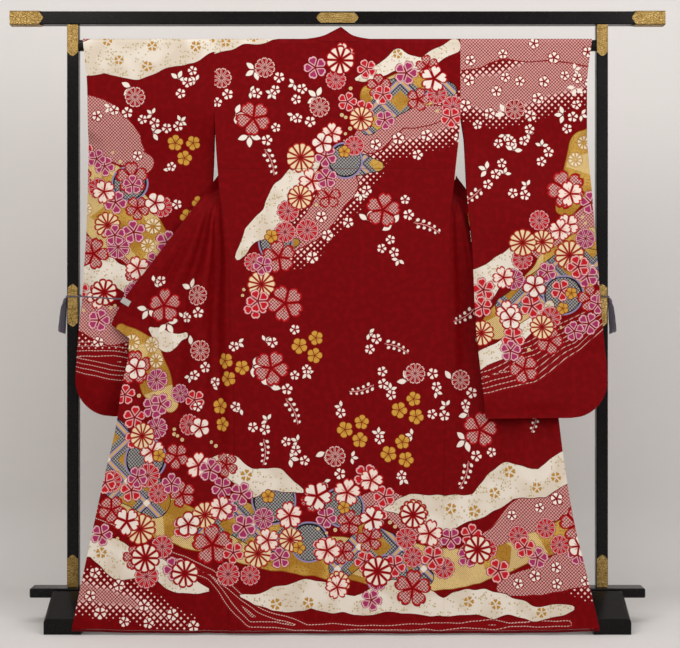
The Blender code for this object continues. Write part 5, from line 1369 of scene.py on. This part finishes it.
def build_back(collection):
    """Both halves of the back, cut as strips a third of a metre wide that meet at the seam."""
    for side, word in SIDE_NAMES.items():
        grid = back_panel(side, BACK_ROWS)
        chart = body_chart(grid, grid[..., 0])
        off_seam = smooth((ARM_X - np.abs(grid[..., 0]) - 0.002) / 0.05)
        grid[..., 1] += creases(chart, BODY_CREASES) * off_seam
        grid[..., 1] += TUCK_DEPTH * np.exp(-(((grid[..., 2] - TUCK_Z) / TUCK_SPREAD) ** 2))
        made = wall_object(f"silk_back_{word}", grid, grid_normals(grid), side, chart, collection,
                           "lining_silk")
        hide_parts(f"back_{word}")


def slant_end(values, first, last):
    """Slides the collar's end rows up along each column, so that its end runs at a slant."""
    rows = FRONT_ROWS[first:last + 1]
    wanted = rows[0] + (rows - rows[0])[:, None] * slant_share()
    old = values[first:last + 1].copy()
    for column, axis in np.ndindex(old.shape[1:]):
        slid = np.interp(wanted[:, column], rows, old[:, column, axis])
        values[first:last + 1, column, axis] = slid


def build_fronts(collection):
    """Front body, overlap and collar run of each side, cut from the same rows."""
    for side, word in SIDE_NAMES.items():
        heights, grids, normals, runs = front_pieces(side, FRONT_ROWS)
        seam = through(SIDE_SEAM[side], 1, heights)[:, None]
        charts = [body_chart(grid, side * (seam + run)) for grid, run in zip(grids, runs)]
        for grid, chart, normal in zip(grids, charts, normals):
            level = smooth((1.19 - grid[..., 2]) / 0.05)
            grid += normal * (side * creases(chart, BODY_CREASES) * level)[..., None]
        body, flap, band = grids
        made = wall_object(f"silk_front_{word}", body, normals[0], -side, charts[0], collection,
                           "lining_silk")
        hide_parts(f"front_{word}")
        used = heights <= OVERLAP_TIP
        made = wall_object(f"silk_overlap_{word}", flap[used], normals[1][used], -side,
                           charts[1][used], collection, "lining_silk")
        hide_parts(f"overlap_{word}")
        last = int(np.searchsorted(FRONT_ROWS, COLLAR_END_ROWS[1]))
        for values in (band, charts[2]):
            slant_end(values, last - COLLAR_END_STEPS, last)
        neck = neck_band(side)[:-1]
        collar = np.concatenate([neck, band[:last + 1]])
        chart = np.concatenate([neck[..., (0, 2)], charts[2][:last + 1]])
        facing = np.concatenate([grid_normals(neck) * side_sign(neck, side), normals[2][:last + 1]])
        made = wall_object(f"silk_collar_{word}", collar, facing, -side, chart, collection,
                           "crimson_silk_print")
        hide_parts(f"collar_{word}")


def side_sign(neck, side):
    """-1 or +1 that turns the neck band's normals to carry on those of the band below it."""
    normal = grid_normals(neck)[-1].mean(axis=0)
    return 1.0 if normal[1] * -side > 0 else -1.0


def build_sleeves(collection):
    """Each sleeve is one long strip folded over the rod: a back wall and a front wall."""
    for side, word in SIDE_NAMES.items():
        for face, layer in ((-1, "back"), (1, "front")):
            grid = sleeve_wall(side, face, SLEEVE_ROWS)
            from_middle = np.abs(grid[..., 0])
            chart_side = side if face < 0 else -side
            chart = body_chart(grid, chart_side * (from_middle + SLEEVE_CHART))
            fade = smooth((from_middle - 0.30) / 0.05)
            grid[..., 1] += creases(body_chart(grid, from_middle), SLEEVE_CREASES) * fade * side
            made = wall_object(f"silk_sleeve_{word}_{layer}", grid, grid_normals(grid), face * side,
                               chart, collection, "facing_silk")
            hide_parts(f"sleeve_{word}_{layer}")


def build_hem(collection):
    """The rolled edge of the lining along the whole hem, slightly uneven in thickness."""
    path = hem_path()
    run = distances(path)
    keep = np.linspace(0.0, run[-1], HEM_STEPS)
    path = np.stack([np.interp(keep, run, path[:, axis]) for axis in range(3)], axis=-1)
    wave = 1.0 - 0.06 * (1 + np.sin(keep * 41.0) * np.sin(keep * 17.3 + 1.0))
    made = add_mesh("silk_hem_roll", *tube_parts(path, ROLL_RADIUS * wave, 12), collection,
                    "facing_silk")
    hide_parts("hem_roll")


def add_mesh(name, points, faces, collection, material, flat_above=45):
    """A mesh piece of the object, shaded smooth below this angle, riding the root."""
    mesh = bpy.data.meshes.new(name)
    mesh.from_pydata(points, [], faces)
    mesh.update()
    mesh.shade_smooth()
    mesh.set_sharp_from_angle(angle=math.radians(flat_above))
    mesh.materials.append(bpy.data.materials[material])
    made = bpy.data.objects.new(name, mesh)
    collection.objects.link(made)
    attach(made, "root")
    return made


def path_axes(path):
    """Two unit axes square to a path at each point: level or, where it is steep, off x, and over."""
    ahead = np.gradient(path, axis=0)
    ahead /= np.linalg.norm(ahead, axis=1, keepdims=True)
    level, up = np.array([[1.0, 0.0, 0.0]]), np.array([[0.0, 0.0, 1.0]])
    across = np.cross(ahead, np.where(np.abs(ahead[:, 2:3]) > 0.9, level, up))
    across /= np.linalg.norm(across, axis=1, keepdims=True)
    return across, np.cross(across, ahead)


def twisted(path, radius, lay, strands):
    """Paths of the strands of a cord twisted about a path, lay metres a turn."""
    across, over = path_axes(path)
    made = []
    for strand in range(strands):
        turn = (distances(path) / lay + strand / strands) * 2 * math.pi
        made.append(path + radius * (np.cos(turn)[:, None] * across + np.sin(turn)[:, None] * over))
    return made


def joined(name, meshes, collection, material):
    """One object made of several point and face lists."""
    points, faces = [], []
    for more_points, more_faces in meshes:
        shift = sum(len(p) for p in points)
        points.append(np.asarray(more_points))
        faces += [[i + shift for i in face] for face in more_faces]
    return add_mesh(name, np.concatenate(points), faces, collection, material, 60)


def tube_parts(path, radius, sides):
    """Points and faces of a closed tube along a path, its radius one value or one a point."""
    across, over = path_axes(path)
    turn = (np.arange(sides) / sides * 2 * math.pi)[None, :, None]
    ring = np.cos(turn) * across[:, None, :] + np.sin(turn) * over[:, None, :]
    points = path[:, None, :] + ring * np.broadcast_to(radius, len(path))[:, None, None]
    index = np.arange(len(path) * sides).reshape(len(path), sides)
    around = np.roll(index, -1, axis=1)
    faces = np.stack([index[:-1], index[1:], around[1:], around[:-1]], -1).reshape(-1, 4).tolist()
    return points.reshape(-1, 3), faces + [index[0].tolist(), index[-1][::-1].tolist()]


def build_ties(collection):
    """A twisted cord from each clip round its post, and the tassel that hangs from its end."""
    rng = np.random.default_rng(5)
    for side, word in SIDE_NAMES.items():
        route = cord_path(side)
        run = distances(route)
        fine = np.linspace(0.0, run[-1], int(run[-1] / CORD_FINE_STEP))
        path = np.stack([np.interp(fine, run, route[:, axis]) for axis in range(3)], axis=-1)
        # A running mean of seven points takes the corners off.
        path = np.stack([np.convolve(np.pad(path[:, axis], 3, "edge"), np.ones(7) / 7, "valid")
                         for axis in range(3)], axis=-1)
        strands = twisted(path, CORD_RADIUS * 0.48, CORD_LAY, 3)
        made = joined(f"twisted_cord_{word}", [tube_parts(s, CORD_RADIUS * 0.52, 6) for s in strands],
                      collection, "purple_cord_silk")
        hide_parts(f"cord_{word}")
        made = joined(f"silk_tassel_{word}", tassel_parts(side, rng), collection, "purple_cord_silk")
        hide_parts(f"tassel_{word}")
        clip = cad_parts[f"clip_{word}"]
        clip.material_slots[0].material = bpy.data.materials["clear_clip_plastic"]


def tassel_parts(side, rng):
    """A wound head over loose strands that widen and slant towards their ends."""
    middle = np.array([side * (POST_X + POST_SIDE / 2 + TASSEL_OUT), POST_Y, 0.0])
    root = TASSEL_TOP - TASSEL_HEAD
    above, lean_in, radius = np.array(TASSEL_CORE).T
    core = np.stack([middle[0] - side * lean_in, np.full(5, middle[1]), root + above], axis=-1)
    parts = [tube_parts(core, radius, 12)]
    turn = np.linspace(0.0, 3.0, 60) * 2 * math.pi
    wound = np.stack([middle[0] + 0.0058 * np.cos(turn), middle[1] + 0.0056 * np.sin(turn),
                      root - 0.001 + turn / turn[-1] * 0.0042], axis=-1)
    parts.append(tube_parts(wound, 0.0007, 4))
    angle = rng.uniform(0.0, 2 * math.pi, TASSEL_STRANDS)
    out = np.sqrt(rng.uniform(0.03, 1.0, TASSEL_STRANDS))
    part = np.linspace(0.0, 1.0, 7)
    for a, o in zip(angle, out):
        sway = rng.uniform(-0.0008, 0.0008, (2, 7)) * part
        shift = 0.0085 * part**0.6
        x = middle[0] + side * (shift + o * math.cos(a) * (0.0050 + 0.0050 * part**0.3)) + sway[0]
        y = middle[1] + o * math.sin(a) * (0.0045 + 0.0024 * part**0.3) + sway[1]
        end = TASSEL_BOTTOM + TASSEL_SLANT * (1.0 + o * math.cos(a)) + rng.uniform(-0.002, 0.002)
        z = root + (end - root) * part
        parts.append(tube_parts(np.stack([x, y, z], axis=-1), 0.00055, 3))
    return parts


def nail_spots():
    """Where the fittings are nailed on: two places up each post fitting, and across the beam's."""
    hands = SIDE_NAMES.values()
    nailed = [(f"post_{word}_fitting_{hand}", 2, (0.14 if word == "middle" else 0.12, 0.86))
              for word in ("top", "middle", "bottom") for hand in hands]
    nailed.append(("beam_plate", 0, (0.12, 0.88)))
    nailed += [(f"beam_cap_{hand}", 0, (0.2, 0.8)) for hand in hands]
    for name, axis, shares in nailed:
        low, high = (np.array(corner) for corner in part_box(name))
        for share in shares:
            spot = (low + high) / 2
            spot[1] = low[1]
            spot[axis] = low[axis] + (high[axis] - low[axis]) * share
            yield spot


def build_stand(collection):
    """Better finishes on the stand's own solids, and the small nail heads of its fittings."""
    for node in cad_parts.values():
        if node.material_slots and node.material_slots[0].material:
            kept = node.material_slots[0].material.name
            if kept.startswith("black_lacquer"):
                node.material_slots[0].material = bpy.data.materials["black_lacquer_coat"]
            elif kept.startswith("brass"):
                node.material_slots[0].material = bpy.data.materials["engraved_brass"]
    parts = [dome_parts(spot, NAIL_RADIUS, NAIL_HEIGHT) for spot in nail_spots()]
    joined("nail_heads", parts, collection, "engraved_brass")


def dome_parts(spot, radius, height):
    """A low round nail head facing the viewer: rings of a half ellipsoid, its tip and its base.

    Its rim is just inside the plate it is driven into.
    """
    sides, sunk = 12, 0.0002
    turn = np.arange(sides) / sides * 2 * math.pi
    part = np.array([0.0, 0.5, 0.85])[:, None]
    size = radius * np.sqrt(1 - part**2)
    depth = np.broadcast_to(sunk - height * part, (3, sides))
    rings = np.stack([size * np.cos(turn), depth, size * np.sin(turn)], axis=-1).reshape(-1, 3)
    index = np.arange(3 * sides).reshape(3, sides)
    after = np.roll(index, -1, axis=1)
    quads = np.stack([index[:-1], after[:-1], after[1:], index[1:]], axis=-1).reshape(-1, 4)
    tips = np.column_stack([index[-1], after[-1], np.full(sides, 3 * sides)])
    points = np.concatenate([rings, [(0.0, -height, 0.0)]]) + spot
    return points, quads.tolist() + tips.tolist() + [index[0, ::-1].tolist()]


def build_stage(collection, settings):
    """A pale floor that curves up into a pale wall, soft lamps, and the camera at the photo's place."""
    reach, front, top, curve = 4.5, -7.0, 4.0, 0.25
    back = settings.wall_distance
    profile = [(front, 0.0), (back - curve, 0.0)]
    profile += [(back - curve + curve * math.sin(a), curve - curve * math.cos(a))
                for a in np.linspace(0.0, math.pi / 2, 13)[1:]]
    profile += [(back, top)]
    points = [(x, y, z) for y, z in profile for x in (-reach, reach)]
    faces = [(2 * i, 2 * i + 1, 2 * i + 3, 2 * i + 2) for i in range(len(profile) - 1)]
    mesh = bpy.data.meshes.new("floor_and_wall")
    mesh.from_pydata(points, [], faces)
    mesh.shade_smooth()
    mesh.materials.append(bpy.data.materials["pale_paper"])
    sweep = bpy.data.objects.new("floor_and_wall", mesh)
    collection.objects.link(sweep)
    for name, place, aim, size, power, tint in LAMPS:
        data = bpy.data.lights.new(name, "AREA")
        data.shape = "RECTANGLE"
        data.size, data.size_y = size
        data.energy = power * settings.light
        data.color = srgb(tint)
        lamp = bpy.data.objects.new(name, data)
        lamp.location = place
        ray = mathutils.Vector(aim) - mathutils.Vector(place)
        lamp.rotation_euler = ray.to_track_quat("-Z", "Y").to_euler()
        collection.objects.link(lamp)
    world = bpy.data.worlds.new("studio")
    world.use_nodes = True
    sky = world.node_tree.nodes["Background"]
    sky.inputs["Color"].default_value = srgb("#e9e6e4") + (1.0,)
    sky.inputs["Strength"].default_value = settings.ambient
    bpy.context.scene.world = world
    bpy.context.scene.view_settings.view_transform = "Standard"
    view = bpy.data.cameras.new("camera")
    view.lens, view.sensor_width = CAMERA_LENS, 36.0
    view.shift_y = CAMERA_SHIFT
    camera = bpy.data.objects.new("camera", view)
    camera.location = (CAMERA_X, POST_Y - CAMERA_DISTANCE, CAMERA_HEIGHT)
    camera.rotation_euler = (math.pi / 2, 0.0, 0.0)
    collection.objects.link(camera)
    bpy.context.scene.camera = camera


# The blossoms' places, drawn once for all the walls.
PLANTED = plant()


class ClothSettings(bpy.types.PropertyGroup):
    crimson: bpy.props.FloatVectorProperty(
        name="Crimson", description="Colour of the silk's plain ground", subtype="COLOR", size=3,
        min=0.0, max=1.0, default=srgb("#710409"))
    crimson_deep: bpy.props.FloatVectorProperty(
        name="Deep crimson", description="Colour of the ground between the damask figures",
        subtype="COLOR", size=3, min=0.0, max=1.0, default=srgb("#690307"))
    facing: bpy.props.FloatVectorProperty(
        name="Facing", description="Colour of the dark red facing and of the rolled hem",
        subtype="COLOR", size=3, min=0.0, max=1.0, default=srgb("#5c040a"))


class PrintSettings(bpy.types.PropertyGroup):
    dot_pitch: bpy.props.FloatProperty(
        name="Dot pitch", description="Distance between tie-dyed dots, along the slanted grid's axes",
        subtype="DISTANCE", unit="LENGTH", min=0.003, max=0.02, default=0.0088, precision=4)
    lattice_pitch: bpy.props.FloatProperty(
        name="Lattice pitch",
        description="Distance between the lattice's bars, across and upwards",
        subtype="DISTANCE", unit="LENGTH", min=0.03, max=0.3, default=0.112, precision=3)


class StageSettings(bpy.types.PropertyGroup):
    wall_distance: bpy.props.FloatProperty(
        name="Wall distance", description="How far the wall stands behind the object's middle",
        subtype="DISTANCE", unit="LENGTH", min=0.3, max=5.0, default=0.75)
    light: bpy.props.FloatProperty(
        name="Light", description="Strength of the lamps, as a share of their set power",
        subtype="FACTOR", min=0.0, max=4.0, default=1.0)
    ambient: bpy.props.FloatProperty(
        name="Ambient", description="Strength of the even light all round", subtype="FACTOR",
        min=0.0, max=4.0, default=0.55)
    wall: bpy.props.FloatVectorProperty(
        name="Wall", description="Colour of the wall and the floor", subtype="COLOR", size=3,
        min=0.0, max=1.0, default=srgb("#dcdad8"))


def target(name):
    """The collection of this name, made once."""
    found = bpy.data.collections.get(name)
    if not found:
        found = bpy.data.collections.new(name)
        bpy.context.scene.collection.children.link(found)
    return found


class FURISODE_OT_materials(bpy.types.Operator):
    """Make every material of the furisode and its stand"""

    bl_idname = "furisode.materials"
    bl_label = "Materials"

    def execute(self, context):
        cloth, prints = context.scene.furisode_cloth, context.scene.furisode_print
        make_silk(cloth, prints.dot_pitch, prints.lattice_pitch)
        make_lining(cloth)
        make_facing(cloth)
        make_lacquer()
        make_brass()
        make_cord_silk()
        make_clip_plastic()
        make_paper(context.scene.furisode_stage)
        return {"FINISHED"}


class FURISODE_OT_back(bpy.types.Operator):
    """Build both halves of the back"""

    bl_idname = "furisode.back"
    bl_label = "Back"

    def execute(self, context):
        build_back(target("furisode"))
        return {"FINISHED"}


class FURISODE_OT_fronts(bpy.types.Operator):
    """Build the front bodies, overlaps and collar runs"""

    bl_idname = "furisode.fronts"
    bl_label = "Fronts and collar"

    def execute(self, context):
        build_fronts(target("furisode"))
        return {"FINISHED"}


class FURISODE_OT_sleeves(bpy.types.Operator):
    """Build both walls of each sleeve"""

    bl_idname = "furisode.sleeves"
    bl_label = "Sleeves"

    def execute(self, context):
        build_sleeves(target("furisode"))
        return {"FINISHED"}


class FURISODE_OT_hem(bpy.types.Operator):
    """Build the rolled hem"""

    bl_idname = "furisode.hem"
    bl_label = "Hem roll"

    def execute(self, context):
        build_hem(target("furisode"))
        return {"FINISHED"}


class FURISODE_OT_ties(bpy.types.Operator):
    """Build the cords and tassels, and finish the clips"""

    bl_idname = "furisode.ties"
    bl_label = "Cords and tassels"

    def execute(self, context):
        build_ties(target("ties"))
        return {"FINISHED"}


class FURISODE_OT_stand(bpy.types.Operator):
    """Finish the stand and add its nail heads"""

    bl_idname = "furisode.stand"
    bl_label = "Stand"

    def execute(self, context):
        build_stand(target("stand"))
        return {"FINISHED"}


class FURISODE_OT_stage(bpy.types.Operator):
    """Build the floor, the wall, the lamps and the camera"""

    bl_idname = "furisode.stage"
    bl_label = "Stage"

    def execute(self, context):
        build_stage(target("stage"), context.scene.furisode_stage)
        return {"FINISHED"}


OPERATORS = (FURISODE_OT_materials, FURISODE_OT_hem, FURISODE_OT_back, FURISODE_OT_fronts,
             FURISODE_OT_sleeves, FURISODE_OT_ties, FURISODE_OT_stand, FURISODE_OT_stage)
SETTINGS = {"furisode_cloth": ClothSettings, "furisode_print": PrintSettings,
            "furisode_stage": StageSettings}


class FURISODE_PT_panel(bpy.types.Panel):
    """Settings of the furisode, and a button for each group of pieces"""

    bl_idname = "FURISODE_PT_panel"
    bl_label = "Furisode"
    bl_space_type = "VIEW_3D"
    bl_region_type = "UI"
    bl_category = "Furisode"

    def draw(self, context):
        for name, settings in SETTINGS.items():
            box = self.layout.box()
            for field in settings.__annotations__:
                box.prop(getattr(context.scene, name), field)
        for operator in OPERATORS:
            self.layout.operator(operator.bl_idname)


def register():
    for kind in (*SETTINGS.values(), *OPERATORS, FURISODE_PT_panel):
        bpy.utils.register_class(kind)
    for name, kind in SETTINGS.items():
        setattr(bpy.types.Scene, name, bpy.props.PointerProperty(type=kind))


def unregister():
    for name in SETTINGS:
        delattr(bpy.types.Scene, name)
    for kind in (FURISODE_PT_panel, *reversed(OPERATORS), *SETTINGS.values()):
        bpy.utils.unregister_class(kind)


def main():
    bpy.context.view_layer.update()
    register()
    for operator in OPERATORS:
        group, name = operator.bl_idname.split(".")
        getattr(getattr(bpy.ops, group), name)()


if __name__ == "__main__":
    main()
